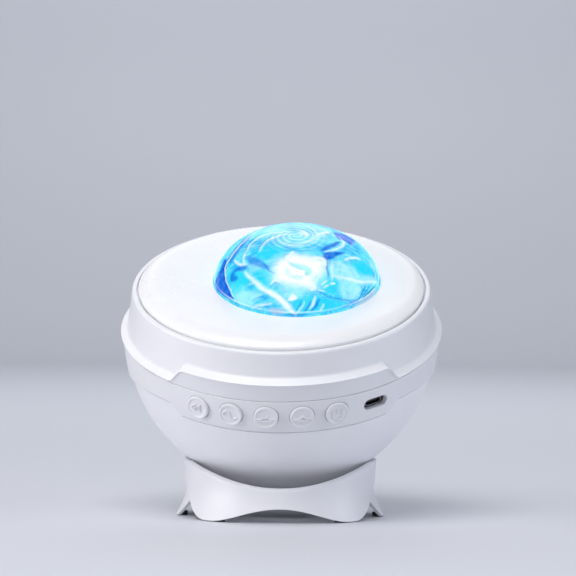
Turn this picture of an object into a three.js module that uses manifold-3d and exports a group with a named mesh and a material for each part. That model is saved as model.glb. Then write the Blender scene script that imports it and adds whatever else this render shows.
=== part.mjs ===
// A star projector: a bowl-shaped head that leans and turns on a seat in a low petal stand.
// Millimetres, +Z up. The origin is on the table, on the stand's upright axis.
// The front faces -Y. Head sizes are heights above the centre of the bowl's sphere.
import * as THREE from 'three';
import { mergeVertices } from 'three/addons/utils/BufferGeometryUtils.js';
import Module from 'manifold-3d';

const wasm = await Module();
wasm.setup();

// Clearances
const gap = 0.3;
const runningGap = 0.4;
const boreGap = 0.35;
const cutOverrun = 2;
const weld = 0.6;

// Bowl
const bowlRadius = 75.4;
const bowlWall = 2.4;
const postInset = 13.4;
const postPitchRadius = bowlRadius - postInset;
const postAzimuths = [58, 122, 238, 302];
const postRadius = 4.5;
const screwShankRadius = 1.4;
const screwHeadRadius = 3;
const screwHeadHeight = 2.2;
const screwDepth = 14;

// The head's pose in the stand
const tiltAngle = 25.1;
const leanAngle = -0.5;
const spinAngle = 1.7;
const bowlClearance = 13.1;
const pivotHeight = bowlRadius + bowlClearance;

// Control band and its front panel
const seamHeight = 2.8;
const seamGap = 0.4;
const bandTopProud = 1.8;
const bandTopRadius = bowlRadius + bandTopProud;
const bandProud = 1.3;
const bandBottom = -8.6;
const bandSideDrop = 6.9;
const panelBottom = -13.9;
const bandSeat = 1.8;
const bandInnerRadius = bowlRadius - bandSeat;
const panelHalfAngle = 39.5;
const panelRampAngle = 6;
const tongueWall = 1.8;
const tongueHeight = 3.5;
const frontTongueHeight = 0.5;

// Upper shell
const lipProud = 2.9;
const lipRadius = bowlRadius + lipProud;
const lipHeight = 3.9;
const lipDrop = 0.5;
const lipStep = 0.9;
const lipBandHeight = 2.8;
const lipRaise = 8;
const lipFlatAngle = 36;
const lipRampAngle = 9.5;
const shellFootInset = 0.7;
const shellFootRadius = bowlRadius - shellFootInset;
const shellTaper = 2.7;
const shellTopRadius = shellFootRadius - shellTaper;
const shellRimHeight = 26.2;
const shellRimRound = 2.2;
const shellRimLand = 0.3;
const shellWall = 2.3;
const ledgeHeight = 23.6;
const ledgeWidth = 3.9;
const ledgeThickness = 2.2;

// Top cover
const coverRadius = shellTopRadius - shellRimRound - shellRimLand - 2 * gap;
const coverEdgeHeight = 25.7;
const coverCrown = 29.2;
const coverThickness = 2.2;
const coverRoll = 9;
const ledgeInnerRadius = coverRadius - ledgeWidth;

// Dome
const domeX = 7.4;
const domeY = -1.8;
const domeInset = 35.6;
const domeRadius = bowlRadius - domeInset;
const domeTop = 54.4;
const domeSpring = 29.5;
const domeWall = 2.4;
const domeFlange = 3.4;
const domeFlangeThickness = 1.6;
const spiralArms = 6;
const spiralTurn = 4.4;
const spiralRelief = 0.55;

// Dome retainer and light funnel
const retainerInnerLip = 1;
const retainerWidth = 3.8;
const retainerThickness = 1.8;
const funnelMouthInset = 8.8;
const funnelMouthRadius = domeRadius - funnelMouthInset;
const funnelDepth = 4;
const funnelFlange = 4;
const funnelThickness = 1;

// Buttons
const buttonAzimuths = [-31.7, -19.2, -6.7, 5.8, 18.3];
const buttonRadius = 5.75;
const buttonHeight = -5.5;
const buttonProud = 1.4;
const buttonChamfer = 0.6;
const buttonTravel = 0.5;
const buttonFlange = 1;
const buttonFlangeThickness = 1;
const buttonStemRadius = 1.8;
const buttonStemLength = 1.3;
const buttonDish = 0.2;

// USB-C inlet
const usbAzimuth = 33.9;
const usbHeight = -5.5;
const usbWidth = 13.2;
const usbSlotHeight = 5;
const usbRecess = 0.8;
const usbPortWidth = 8.6;
const usbPortHeight = 2.8;
const usbFloor = 1.5;
const usbTongueWidth = 6.6;
const usbTongueThickness = 0.8;

// Control board, bent to follow the band
const boardThickness = 1.4;
const switchSize = 6;
const switchDepth = 1.7;
const boardTop = 1;
const boardBottom = -13;
const boardEndMargin = 5;

// Chassis
const chassisInset = 4;
const chassisRadius = postPitchRadius - chassisInset;
const chassisThickness = 2.7;
const chassisTop = -3.6;
const earRadius = 5;
const sinkOpening = 30.6;
const hangerRadius = 3;
const hangerX = 27;
const hangerY = 19;
const hangerLength = 15.8;

// Optics tube and the geared ripple disc
const tubeInnerRadius = 24.2;
const tubeWall = 2;
const tubeTop = 13;
const tubeFlange = 3.8;
const tubeFlangeThickness = 2;
const gearModule = 1.2;
const ringTeeth = 60;
const pinionTeeth = 12;
const gearBacklash = 0.35;
const gearThickness = 3;
const pinionThickness = 4;
const rippleThickness = 1.8;
const rippleWaves = 12;
const rippleRelief = 0.4;
const rippleRimWidth = 3.4;
const skirtWall = 1.3;
const skirtDepth = 4.2;
const gratingRadius = 6;
const gratingThickness = 1;

// Heat sink, LEDs and laser
const sinkInset = 2.2;
const sinkRadius = tubeInnerRadius - sinkInset;
const sinkThickness = 2.8;
const finCount = 7;
const finThickness = 1.4;
const finDepth = 14;
const finSpan = 28;
const ledBoardInset = 3.2;
const ledBoardRadius = tubeInnerRadius - ledBoardInset;
const ledBoardThickness = 1.6;
const ledPitchRadius = 13;
const ledSize = 3.5;
const ledHeight = 0.8;
const lensRadius = 6.2;
const lensFootRadius = 5.6;
const lensHeight = 6.8;
const laserRadius = 5.5;
const laserLength = 12.4;

// Drive motor
const motorRadius = 10;
const motorLength = 22.7;
const motorFlange = 2.6;
const motorFlangeThickness = 1.4;
const shaftRadius = 1;

// Main board
const mainBoardX = 64;
const mainBoardY = 48;
const mainBoardThickness = 1.6;
const chipSize = 12;
const chipHeight = 2;
const chipX = -12;
const chipY = 6;
const radioWidth = 16;
const radioDepth = 12;
const radioHeight = 2.4;
const radioX = 16;
const radioY = -12;
const plugWidth = 8;
const plugDepth = 6;
const plugHeight = 6;
const plugX = 18;
const plugY = 14;
const canRadius = 4;
const canHeight = 9;
const canX = -20;
const canY = -12;

// Speaker
const speakerFlangeRadius = 20.5;
const speakerDepth = 17.6;
const speakerInset = 7.8;
const speakerFace = speakerInset - bowlRadius;
const speakerMagnetRadius = 13;
const speakerMagnetHeight = 8;
const speakerConeRadius = 16.9;
const speakerRim = 1.4;
const coneThickness = 0.6;
const seatRibWall = 2;
const soundHoleRadius = 1.4;
const soundRingRadii = [6, 11.5];
const soundRingCounts = [6, 12];

// Stand
const footRadius = 50.5;
const waistRadius = 46.2;
const waistHeight = 15.5;
const mouthRadius = 46.9;
const sideRimHeight = 28.1;
const frontRimHeight = 15.2;
const skirtThickness = 1.9;
const padRise = 0.3;
const archHeight = 6.5;
const archHalfAngle = 34;
const archShare = 1.2;
const lobeOuterAngle = 45;
const panelEdgeRise = 16.9;
const sideAngle = 90;
const legInset = 0.9;
const legFlare = 1.2;
const legFootHalfAngle = 10;
const legHalfAngle = 29;
const legEdgeSlope = 0.65;
const legTopDrop = 1.2;
const floorHeight = 9;
const floorThickness = 2;
const hubRadius = 17;
const spokeWidth = 9;
const padHeight = 1.3;
const padThickness = 2.4;
const padHalfAngle = 4.5;
const legPadHalfAngle = 6.5;

// Seat cup
const cupInnerRadius = 8;
const cupOuterRadius = 16;
const cupPinRise = 1.4;

const white = 0xe9e9f1;
const radians = THREE.MathUtils.degToRad;

function material(color, roughness, metalness = 0, opacity = 1) {
  const transparent = opacity < 1;
  return new THREE.MeshStandardMaterial({ color, roughness, metalness, opacity, transparent });
}

const materials = {
  cover: material(0xf2f2f8, 0.32),
  shell: material(white, 0.34),
  stand: material(0xe6e6ee, 0.38),
  icon: material(0xdfe0ea, 0.3),
  dome: material(0x4fc3f7, 0.05, 0, 0.45),
  lens: material(0xdff3ff, 0.05, 0, 0.5),
  rubber: material(0x1d1e22, 0.85),
  silicone: material(0xc9cad2, 0.7),
  blackPlastic: material(0x24262b, 0.55),
  whitePlastic: material(0xf4f4f4, 0.5),
  aluminium: material(0xa9adb5, 0.4, 0.85),
  steel: material(0x8d9199, 0.35, 0.9),
  brass: material(0xb58a3e, 0.35, 0.9),
  board: material(0x1f6b45, 0.55),
  paper: material(0x2b2b2f, 0.9),
};

// Closed solids and booleans

function toSolid(geometry) {
  const bare = geometry.clone();
  bare.deleteAttribute('normal');
  bare.deleteAttribute('uv');
  const merged = mergeVertices(bare, 1e-4);
  return new wasm.Manifold(new wasm.Mesh({
    numProp: 3,
    vertProperties: new Float32Array(merged.attributes.position.array),
    triVerts: new Uint32Array(merged.index.array),
  }));
}

function toGeometry(solid) {
  const mesh = solid.getMesh();
  const geometry = new THREE.BufferGeometry();
  geometry.setAttribute('position', new THREE.BufferAttribute(new Float32Array(mesh.vertProperties), 3));
  geometry.setIndex(new THREE.BufferAttribute(new Uint32Array(mesh.triVerts), 1));
  return geometry;
}

function join(first, ...others) {
  return toGeometry(others.reduce((sum, other) => sum.add(toSolid(other)), toSolid(first)));
}

function cut(first, ...others) {
  return toGeometry(others.reduce((rest, other) => rest.subtract(toSolid(other)), toSolid(first)));
}

function common(first, second) {
  return toGeometry(toSolid(first).intersect(toSolid(second)));
}

// Turns every face outwards if the mesh came out inside out.
function facingOut(geometry) {
  const p = geometry.attributes.position;
  const index = geometry.index.array;
  const a = new THREE.Vector3();
  const b = new THREE.Vector3();
  const c = new THREE.Vector3();
  let volume = 0;
  for (let i = 0; i < index.length; i += 3) {
    a.fromBufferAttribute(p, index[i]);
    b.fromBufferAttribute(p, index[i + 1]);
    c.fromBufferAttribute(p, index[i + 2]);
    volume += a.dot(b.cross(c));
  }
  if (volume < 0) {
    for (let i = 0; i < index.length; i += 3) {
      [index[i + 1], index[i + 2]] = [index[i + 2], index[i + 1]];
    }
  }
  return geometry;
}

// A point at an azimuth from the front, turning towards +X.
function polar(azimuth, radius, height) {
  return new THREE.Vector3(radius * Math.sin(azimuth), -radius * Math.cos(azimuth), height);
}

// Sweeps a closed outline of [radius, height] points, which may change with the azimuth.
function sweep(azimuths, outlineAt, wraps = true) {
  const columns = azimuths.map((degrees) => {
    const azimuth = radians(degrees);
    return outlineAt(degrees).map(([radius, height]) => polar(azimuth, radius, height));
  });
  const size = columns[0].length;
  const positions = columns.flat().flatMap((point) => [point.x, point.y, point.z]);
  const index = [];
  const same = (i, j) => {
    const first = columns[Math.floor(i / size)][i % size];
    const second = columns[Math.floor(j / size)][j % size];
    return first.distanceToSquared(second) === 0;
  };
  const face = (i, j, k) => {
    if (!same(i, j) && !same(j, k) && !same(k, i)) {
      index.push(i, j, k);
    }
  };
  const last = wraps ? columns.length : columns.length - 1;
  for (let column = 0; column < last; column += 1) {
    const here = column * size;
    const next = ((column + 1) % columns.length) * size;
    for (let row = 0; row < size; row += 1) {
      const up = (row + 1) % size;
      face(here + row, next + row, next + up);
      face(here + row, next + up, here + up);
    }
  }
  const capEnd = (azimuth, start, turned) => {
    const contour = outlineAt(azimuth).map(([radius, height]) => new THREE.Vector2(radius, height));
    const reversed = THREE.ShapeUtils.isClockWise(contour) !== turned;
    for (const [i, j, k] of THREE.ShapeUtils.triangulateShape(contour, [])) {
      index.push(...(reversed ? [start + i, start + k, start + j] : [start + i, start + j, start + k]));
    }
  };
  if (!wraps) {
    capEnd(azimuths[0], 0, false);
    capEnd(azimuths.at(-1), (columns.length - 1) * size, true);
  }
  const geometry = new THREE.BufferGeometry();
  geometry.setAttribute('position', new THREE.Float32BufferAttribute(positions, 3));
  geometry.setIndex(index);
  return facingOut(geometry);
}

// Revolves a closed outline of [radius, height] points.
function revolve(outline, segments = 40) {
  const step = 360 / segments;
  const azimuths = Array.from({ length: segments }, (_, i) => i * step);
  const geometry = sweep(azimuths, () => outline);
  const merged = mergeVertices(geometry, 1e-5);
  return merged;
}

function tube(innerRadius, outerRadius, bottom, top, segments) {
  const outline = [[innerRadius, bottom], [outerRadius, bottom], [outerRadius, top], [innerRadius, top]];
  return revolve(outline, segments);
}

function rod(radius, bottom, top, segments = 16) {
  return revolve([[0, bottom], [radius, bottom], [radius, top], [0, top]], segments);
}

function block(width, depth, bottom, top) {
  const geometry = new THREE.BoxGeometry(width, depth, top - bottom);
  return geometry.translate(0, 0, (top + bottom) / 2);
}

// Evenly spaced azimuths with extra ones where an outline bends.
function azimuthRing(count, extras = []) {
  const even = Array.from({ length: count }, (_, i) => -180 + (i * 360) / count);
  const near = 360 / count / 4;
  const kept = even.filter((azimuth) => extras.every((extra) => Math.abs(azimuth - extra) > near));
  return [...kept, ...extras].sort((a, b) => a - b);
}

// How far a front feature has faded: 1 within the flat angle, 0 past the ramp.
function frontShare(azimuth, flatAngle, rampAngle) {
  const past = (Math.abs(azimuth) - flatAngle) / rampAngle;
  return 1 - THREE.MathUtils.smoothstep(past, 0, 1);
}

function rampAzimuths(flatAngle, rampAngle) {
  const shares = [0, 0.25, 0.5, 0.75, 1];
  return shares.flatMap((share) => [-(flatAngle + share * rampAngle), flatAngle + share * rampAngle]);
}

function sphereRadiusAt(radius, height) {
  return Math.sqrt(radius * radius - height * height);
}

function sphereHeightAt(radius, distance) {
  return Math.sqrt(radius * radius - distance * distance);
}

// Stand

function skirtRadius(height) {
  if (height < waistHeight) {
    const share = (waistHeight - height) / waistHeight;
    return waistRadius + (footRadius - waistRadius) * share ** 1.7;
  }
  const share = (height - waistHeight) / (sideRimHeight - waistHeight);
  return waistRadius + (mouthRadius - waistRadius) * share ** 1.5;
}

function rimHeight(azimuth) {
  return frontRimHeight + (sideRimHeight - frontRimHeight) * Math.sin(radians(azimuth)) ** 2;
}

// Angle from the middle of the nearer of the front and back panels.
function panelAngle(azimuth) {
  const turned = Math.abs(azimuth) % 180;
  return Math.min(turned, 180 - turned);
}

function panelEdgeHeight(azimuth) {
  const angle = panelAngle(azimuth);
  if (angle < archHalfAngle) {
    return padRise + archHeight * (1 - (angle / archHalfAngle) ** 2) ** archShare;
  }
  return padRise + panelEdgeRise * THREE.MathUtils.smoothstep(angle, lobeOuterAngle, sideAngle);
}

// A side leg stands inside the panels, and its foot flares out to their reach.
function legRadius(height) {
  const share = Math.max(0, 1 - height / waistHeight);
  return skirtRadius(height) - legInset + legFlare * share ** 2;
}

function legEdgeHeight(offset) {
  const past = Math.max(0, Math.abs(offset) - legFootHalfAngle);
  return padRise + past * legEdgeSlope;
}

// A wall between a lower edge and an upper edge, following a flare.
function flaredWallOutline(bottom, top, radiusAt) {
  const rowShares = [0, 0.12, 0.3, 0.55, 1];
  const heights = rowShares.map((share) => bottom + (top - bottom) * share);
  const seat = pivotHeight - sphereHeightAt(bowlRadius + 2 * gap, waistRadius - skirtThickness);
  const outer = heights.map((height) => [radiusAt(height), height]);
  const inner = heights.map((height) => [radiusAt(height) - skirtThickness, Math.min(height, seat)]);
  return [...outer, ...inner.reverse()];
}

function makeSkirt() {
  const bends = [0, 12, 24, archHalfAngle, lobeOuterAngle, 51];
  const mirrored = bends.flatMap((angle) => [angle, -angle, 180 - angle, angle - 180]);
  const extras = [...new Set(mirrored)].filter((azimuth) => azimuth !== 180);
  const panels = sweep(azimuthRing(60, extras), (azimuth) =>
    flaredWallOutline(panelEdgeHeight(azimuth), rimHeight(azimuth), skirtRadius));
  const legs = [sideAngle, -sideAngle].map((middle) => {
    const shares = [-1, -0.7, -0.35, -0.17, 0, 0.17, 0.35, 0.7, 1];
    const azimuths = shares.map((share) => middle + share * legHalfAngle);
    return sweep(azimuths, (azimuth) => {
      const bottom = legEdgeHeight(azimuth - middle);
      return flaredWallOutline(bottom, rimHeight(azimuth) - legTopDrop, legRadius);
    }, false);
  });
  const hub = rod(hubRadius, floorHeight, floorHeight + floorThickness, 32);
  const pinTop = floorHeight + floorThickness + cupPinRise;
  const pin = rod(cupInnerRadius - gap, floorHeight, pinTop, 24);
  const reach = skirtRadius(floorHeight) - skirtThickness + weld;
  const spokes = [45, 135, 225, 315].map((azimuth) => {
    const spoke = block(reach, spokeWidth, floorHeight, floorHeight + floorThickness);
    return spoke.translate(reach / 2, 0, 0).rotateZ(radians(azimuth));
  });
  return join(panels, ...legs, hub, pin, ...spokes);
}

// A pad inside the foot of a wall, at the azimuth of its middle.
function makeFootPad(middle, halfAngle, radiusAt) {
  const azimuths = [-1, -0.33, 0.33, 1].map((share) => middle + share * halfAngle);
  return sweep(azimuths, () => {
    const wallAt = (height) => radiusAt(height) - skirtThickness - gap;
    const wall = [[wallAt(0), 0], [wallAt(padHeight), padHeight]];
    const back = wallAt(padHeight) - padThickness;
    return [...wall, [back, padHeight], [back, 0]];
  }, false);
}

function makeSeatCup() {
  const bottom = floorHeight + floorThickness + gap;
  const topAt = (radius) => pivotHeight - sphereHeightAt(bowlRadius + gap, radius);
  const middle = (cupInnerRadius + cupOuterRadius) / 2;
  const top = [cupOuterRadius, middle, cupInnerRadius].map((radius) => [radius, topAt(radius)]);
  return revolve([[cupInnerRadius, bottom], [cupOuterRadius, bottom], ...top], 32);
}

// Head housing

// The band's lower edge is low along the panel, steps up beside it and falls away round the sides.
function bandEdge(azimuth) {
  const share = frontShare(azimuth, panelHalfAngle, panelRampAngle);
  const fall = THREE.MathUtils.smoothstep(Math.abs(azimuth), panelHalfAngle + panelRampAngle, sideAngle);
  return bandBottom + (panelBottom - bandBottom) * share - bandSideDrop * fall;
}

const panelRing = azimuthRing(44, rampAzimuths(panelHalfAngle, panelRampAngle));

function makeBowl() {
  const steps = 7;
  const innerRadius = bowlRadius - bowlWall;
  const arc = (radius, height, count) => {
    const limit = Math.acos(-height / radius);
    return Array.from({ length: count + 1 }, (_, i) => {
      const angle = (limit * i) / count;
      return i === 0 ? [0, -radius] : [radius * Math.sin(angle), -radius * Math.cos(angle)];
    });
  };
  const tongueRadius = bandInnerRadius - runningGap;
  const bowl = mergeVertices(sweep(panelRing, (azimuth) => {
    const top = bandEdge(azimuth) - gap;
    const front = frontShare(azimuth, panelHalfAngle, panelRampAngle);
    const rise = tongueHeight + (frontTongueHeight - tongueHeight) * front;
    const outer = arc(bowlRadius, top, steps);
    const inner = arc(innerRadius, top - tongueWall, steps - 2).reverse();
    const tongue = [[tongueRadius, top], [tongueRadius, top + rise], [tongueRadius - tongueWall, top + rise]];
    return [...outer, ...tongue, ...inner];
  }), 1e-5);
  const ball = new THREE.SphereGeometry(bowlRadius - bowlWall / 2, 48, 24);
  const postTop = chassisTop - chassisThickness - gap;
  const bore = screwShankRadius + boreGap;
  const floorOfPosts = -sphereHeightAt(bowlRadius, postPitchRadius - postRadius);
  const posts = postAzimuths.map((azimuth) => {
    const place = polar(radians(azimuth), postPitchRadius, 0);
    const post = rod(postRadius, floorOfPosts, postTop, 16).translate(place.x, place.y, 0);
    const boreBottom = postTop - screwDepth;
    const hole = rod(bore, boreBottom, postTop + cutOverrun, 12).translate(place.x, place.y, 0);
    return cut(common(post, ball), hole);
  });
  const ribOuter = speakerFlangeRadius - weld;
  const ribFloor = -sphereHeightAt(bowlRadius, ribOuter) + weld;
  const rib = tube(ribOuter - seatRibWall, ribOuter, ribFloor, speakerFace - gap, 32);
  const holes = soundRingRadii.flatMap((radius, ring) => {
    const count = soundRingCounts[ring];
    return Array.from({ length: count }, (_, i) => {
      const place = polar((2 * Math.PI * i) / count, radius, 0);
      const hole = rod(soundHoleRadius, -bowlRadius - cutOverrun, -innerRadius + 2 * cutOverrun, 8);
      return hole.translate(place.x, place.y, 0);
    });
  });
  const middleHole = rod(soundHoleRadius, -bowlRadius - cutOverrun, -innerRadius + cutOverrun, 8);
  return cut(join(bowl, ...posts, rib), ...holes, middleHole);
}

function slotShape(width, height) {
  const half = (width - height) / 2;
  const shape = new THREE.Shape();
  shape.absarc(half, 0, height / 2, -Math.PI / 2, Math.PI / 2, false);
  shape.absarc(-half, 0, height / 2, Math.PI / 2, (3 * Math.PI) / 2, false);
  return shape;
}

// Extrudes a shape outwards along the radius at an azimuth, between two radii.
function radialExtrude(shape, azimuth, height, from, to, curveSegments = 6) {
  const options = { depth: to - from, bevelEnabled: false, curveSegments };
  const geometry = new THREE.ExtrudeGeometry(shape, options);
  geometry.rotateX(Math.PI / 2).translate(0, -from, height);
  return geometry.rotateZ(radians(azimuth));
}

function bandRadiusAt(height) {
  const edge = sphereRadiusAt(bowlRadius, bandBottom) + bandProud;
  const share = (height - bandBottom) / (seamHeight - seamGap - bandBottom);
  if (share >= 0) {
    return edge + (bandTopRadius - edge) * share;
  }
  const low = sphereRadiusAt(bowlRadius, panelBottom) + bandProud;
  return edge + ((low - edge) * (height - bandBottom)) / (panelBottom - bandBottom);
}

function makeControlBand() {
  const top = seamHeight - seamGap;
  const chamfer = gap;
  const band = sweep(panelRing, (azimuth) => {
    const bottom = bandEdge(azimuth);
    const edge = bandRadiusAt(bottom);
    const middle = Math.max(bandBottom, bottom + 2 * chamfer);
    return [
      [bandInnerRadius, bottom], [edge - chamfer, bottom], [edge, bottom + chamfer],
      [bandRadiusAt(middle), middle], [bandTopRadius - chamfer / 2, top - chamfer],
      [bandTopRadius - chamfer, top], [bandInnerRadius, top],
    ];
  });
  const from = bandInnerRadius - cutOverrun;
  const to = bandTopRadius + cutOverrun;
  const holes = buttonAzimuths.map((azimuth) => {
    const circle = new THREE.Shape().absarc(0, 0, buttonRadius + boreGap, 0, 2 * Math.PI, false);
    return radialExtrude(circle, azimuth, buttonHeight, from, to, 10);
  });
  const slot = radialExtrude(slotShape(usbWidth, usbSlotHeight), usbAzimuth, usbHeight, from, to, 5);
  return cut(band, ...holes, slot);
}

// The shell's wall draws in a little from its foot to its rim.
function shellRadiusAt(height) {
  const foot = lipHeight + lipBandHeight;
  const share = (height - foot) / (shellRimHeight - shellRimRound - foot);
  return shellFootRadius - shellTaper * share;
}

function makeUpperShell() {
  const bottomInner = bandInnerRadius - runningGap;
  const tongueBottom = seamHeight - 2 * seamGap;
  const rimStart = shellRimHeight - shellRimRound;
  const rim = [30, 60, 90].map((degrees) => {
    const turn = radians(degrees);
    const radius = shellTopRadius - shellRimRound * (1 - Math.cos(turn));
    return [radius, rimStart + shellRimRound * Math.sin(turn)];
  });
  const shell = sweep(azimuthRing(44, rampAzimuths(lipFlatAngle, lipRampAngle)), (azimuth) => {
    const raise = lipRaise * frontShare(azimuth, lipFlatAngle, lipRampAngle);
    const lip = lipHeight + raise;
    const bandTop = lip + lipBandHeight;
    return [
      [bottomInner, tongueBottom], [bottomInner, seamHeight], [bandTopRadius, seamHeight],
      [lipRadius - lipStep, lip - lipDrop], [lipRadius, lip], [shellRadiusAt(bandTop), bandTop],
      [shellTopRadius, rimStart], ...rim,
      [coverRadius + 2 * gap, shellRimHeight], [coverRadius + 2 * gap, ledgeHeight],
      [ledgeInnerRadius, ledgeHeight], [ledgeInnerRadius, ledgeHeight - ledgeThickness],
      [shellTopRadius - shellWall, ledgeHeight - ledgeThickness],
      [bottomInner - tongueWall, tongueBottom],
    ];
  });
  const bossBottom = chassisTop + gap;
  const bosses = postAzimuths.map((azimuth) => {
    const place = polar(radians(azimuth), postPitchRadius, 0);
    const boss = tube(screwShankRadius + boreGap, postRadius, bossBottom, ledgeHeight, 16);
    return boss.translate(place.x, place.y, 0);
  });
  const bores = postAzimuths.map((azimuth) => {
    const place = polar(radians(azimuth), postPitchRadius, 0);
    const hole = rod(screwShankRadius + boreGap, bossBottom - cutOverrun, ledgeHeight + cutOverrun, 16);
    return hole.translate(place.x, place.y, 0);
  });
  return cut(join(shell, ...bosses), ...bores);
}

function makeTopCover() {
  const rimInner = coverRadius - coverThickness;
  const under = coverCrown - coverThickness;
  const screwReach = postPitchRadius + screwHeadRadius + gap;
  const roll = [0, 0.05, 0.2, 0.45, 1].map((share) => {
    const height = coverEdgeHeight + (coverCrown - coverEdgeHeight) * (1 - (1 - share) ** 2) ** 0.5;
    return [coverRadius - coverRoll * share, height];
  });
  const disc = revolve([
    [0, under], [screwReach, under], [rimInner, coverEdgeHeight - gap],
    [rimInner, ledgeHeight + gap], [coverRadius, ledgeHeight + gap], ...roll, [0, coverCrown],
  ], 60);
  const hole = rod(domeRadius + gap, under - cutOverrun, coverCrown + cutOverrun, 48);
  return cut(disc, hole.translate(domeX, domeY, 0));
}

const domeRise = domeTop - domeSpring;
const flangeTop = coverCrown - coverThickness - 2 * gap;
const flangeBottom = flangeTop - domeFlangeThickness;

// The dome is a shell whose outer face carries curling ridges that close on the top.
function makeDome() {
  const rows = 9;
  const innerRows = 4;
  const azimuths = Array.from({ length: 48 }, (_, i) => (i * 360) / 48);
  const ridge = (azimuth, share) => {
    const fade = Math.sin(Math.PI * Math.min(1, share * 1.15)) ** 0.7;
    const wave = Math.cos(spiralArms * (radians(azimuth) + spiralTurn * share));
    return spiralRelief * fade * (wave > 0 ? wave : wave * 0.4);
  };
  const onDome = (share, inset) => {
    const turn = (Math.PI / 2) * share;
    const rise = domeRise - inset;
    return [share === 0 ? 0 : (domeRadius - inset) * Math.sin(turn), domeSpring + rise * Math.cos(turn)];
  };
  return mergeVertices(sweep(azimuths, (azimuth) => {
    const outer = Array.from({ length: rows + 1 }, (_, row) => {
      const share = 1 - row / rows;
      const lift = share > 0 && share < 0.87 ? ridge(azimuth, share) : 0;
      return onDome(share, -lift);
    });
    const inner = Array.from({ length: innerRows + 1 }, (_, row) => onDome(row / innerRows, domeWall));
    return [
      ...inner, [domeRadius - domeWall, flangeBottom], [domeRadius + domeFlange, flangeBottom],
      [domeRadius + domeFlange, flangeTop], [domeRadius, flangeTop], ...outer,
    ];
  }), 1e-5).translate(domeX, domeY, 0);
}

const retainerTop = flangeBottom - gap;
const retainerBottom = retainerTop - retainerThickness;

function makeRetainer() {
  const lip = domeRadius + retainerInnerLip;
  const wallInner = domeRadius + domeFlange + runningGap;
  const outer = wallInner + retainerWidth;
  return revolve([
    [lip, retainerBottom], [outer, retainerBottom], [outer, flangeTop],
    [wallInner, flangeTop], [wallInner, retainerTop], [lip, retainerTop],
  ], 36).translate(domeX, domeY, 0);
}

function makeFunnel() {
  const top = retainerBottom - gap;
  const bottom = top - funnelThickness;
  const flat = domeRadius - retainerInnerLip;
  const outer = domeRadius + funnelFlange;
  return revolve([
    [funnelMouthRadius, bottom - funnelDepth + funnelThickness], [flat, bottom], [outer, bottom], [outer, top],
    [flat - funnelThickness, top], [funnelMouthRadius, bottom - funnelDepth + 2 * funnelThickness],
  ], 36).translate(domeX, domeY, 0);
}

// Buttons, inlet and their board. A button's own axis is its local Z, pointing out of the band.

const buttonFace = bandRadiusAt(buttonHeight) + buttonProud;
const buttonFlangeRadius = buttonRadius + buttonFlange;
const buttonFlangeFace = sphereHeightAt(bandInnerRadius, buttonFlangeRadius) - gap;

function makeButton() {
  const back = buttonFlangeFace - buttonFlangeThickness;
  const tip = back - buttonStemLength;
  return revolve([
    [0, tip], [buttonStemRadius, tip], [buttonStemRadius, back], [buttonFlangeRadius, back],
    [buttonFlangeRadius, buttonFlangeFace], [buttonRadius, buttonFlangeFace],
    [buttonRadius, buttonFace - buttonChamfer], [buttonRadius - buttonChamfer, buttonFace],
    [buttonRadius * 0.6, buttonFace], [0, buttonFace - buttonDish],
  ], 20);
}

const switchTop = buttonFlangeFace - buttonFlangeThickness - buttonStemLength - buttonTravel - gap;
const boardFace = switchTop - switchDepth;

function makeControlBoard() {
  const first = buttonAzimuths[0] - boardEndMargin;
  const last = usbAzimuth + boardEndMargin;
  const count = 14;
  const azimuths = Array.from({ length: count + 1 }, (_, i) => first + ((last - first) * i) / count);
  const back = boardFace - boardThickness;
  const strip = sweep(azimuths, () => [
    [back, boardBottom], [boardFace, boardBottom], [boardFace, boardTop], [back, boardTop],
  ], false);
  const square = new THREE.Shape([
    new THREE.Vector2(-switchSize / 2, -switchSize / 2), new THREE.Vector2(switchSize / 2, -switchSize / 2),
    new THREE.Vector2(switchSize / 2, switchSize / 2), new THREE.Vector2(-switchSize / 2, switchSize / 2),
  ]);
  const switches = buttonAzimuths.map((azimuth) =>
    radialExtrude(square, azimuth, buttonHeight, boardFace - weld, switchTop));
  return join(strip, ...switches);
}

function makeUsbInlet() {
  const back = boardFace + gap;
  const mouth = bandRadiusAt(usbHeight) - usbRecess;
  const outer = slotShape(usbWidth - 2 * gap, usbSlotHeight - 2 * gap);
  const port = slotShape(usbPortWidth, usbPortHeight);
  const body = radialExtrude(outer, usbAzimuth, usbHeight, back, mouth, 5);
  const hollow = radialExtrude(port, usbAzimuth, usbHeight, back + usbFloor, mouth + cutOverrun, 5);
  const half = usbTongueWidth / 2;
  const thin = usbTongueThickness / 2;
  const tongue = radialExtrude(new THREE.Shape([
    new THREE.Vector2(-half, -thin), new THREE.Vector2(half, -thin),
    new THREE.Vector2(half, thin), new THREE.Vector2(-half, thin),
  ]), usbAzimuth, usbHeight, back + usbFloor - weld, mouth - usbTongueThickness);
  return join(cut(body, hollow), tongue);
}

// Chassis and the light engine, on the dome's axis

const ringPitchRadius = (gearModule * ringTeeth) / 2;
const pinionPitchRadius = (gearModule * pinionTeeth) / 2;
const motorX = domeX - ringPitchRadius - pinionPitchRadius - gearBacklash / 2;

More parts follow.
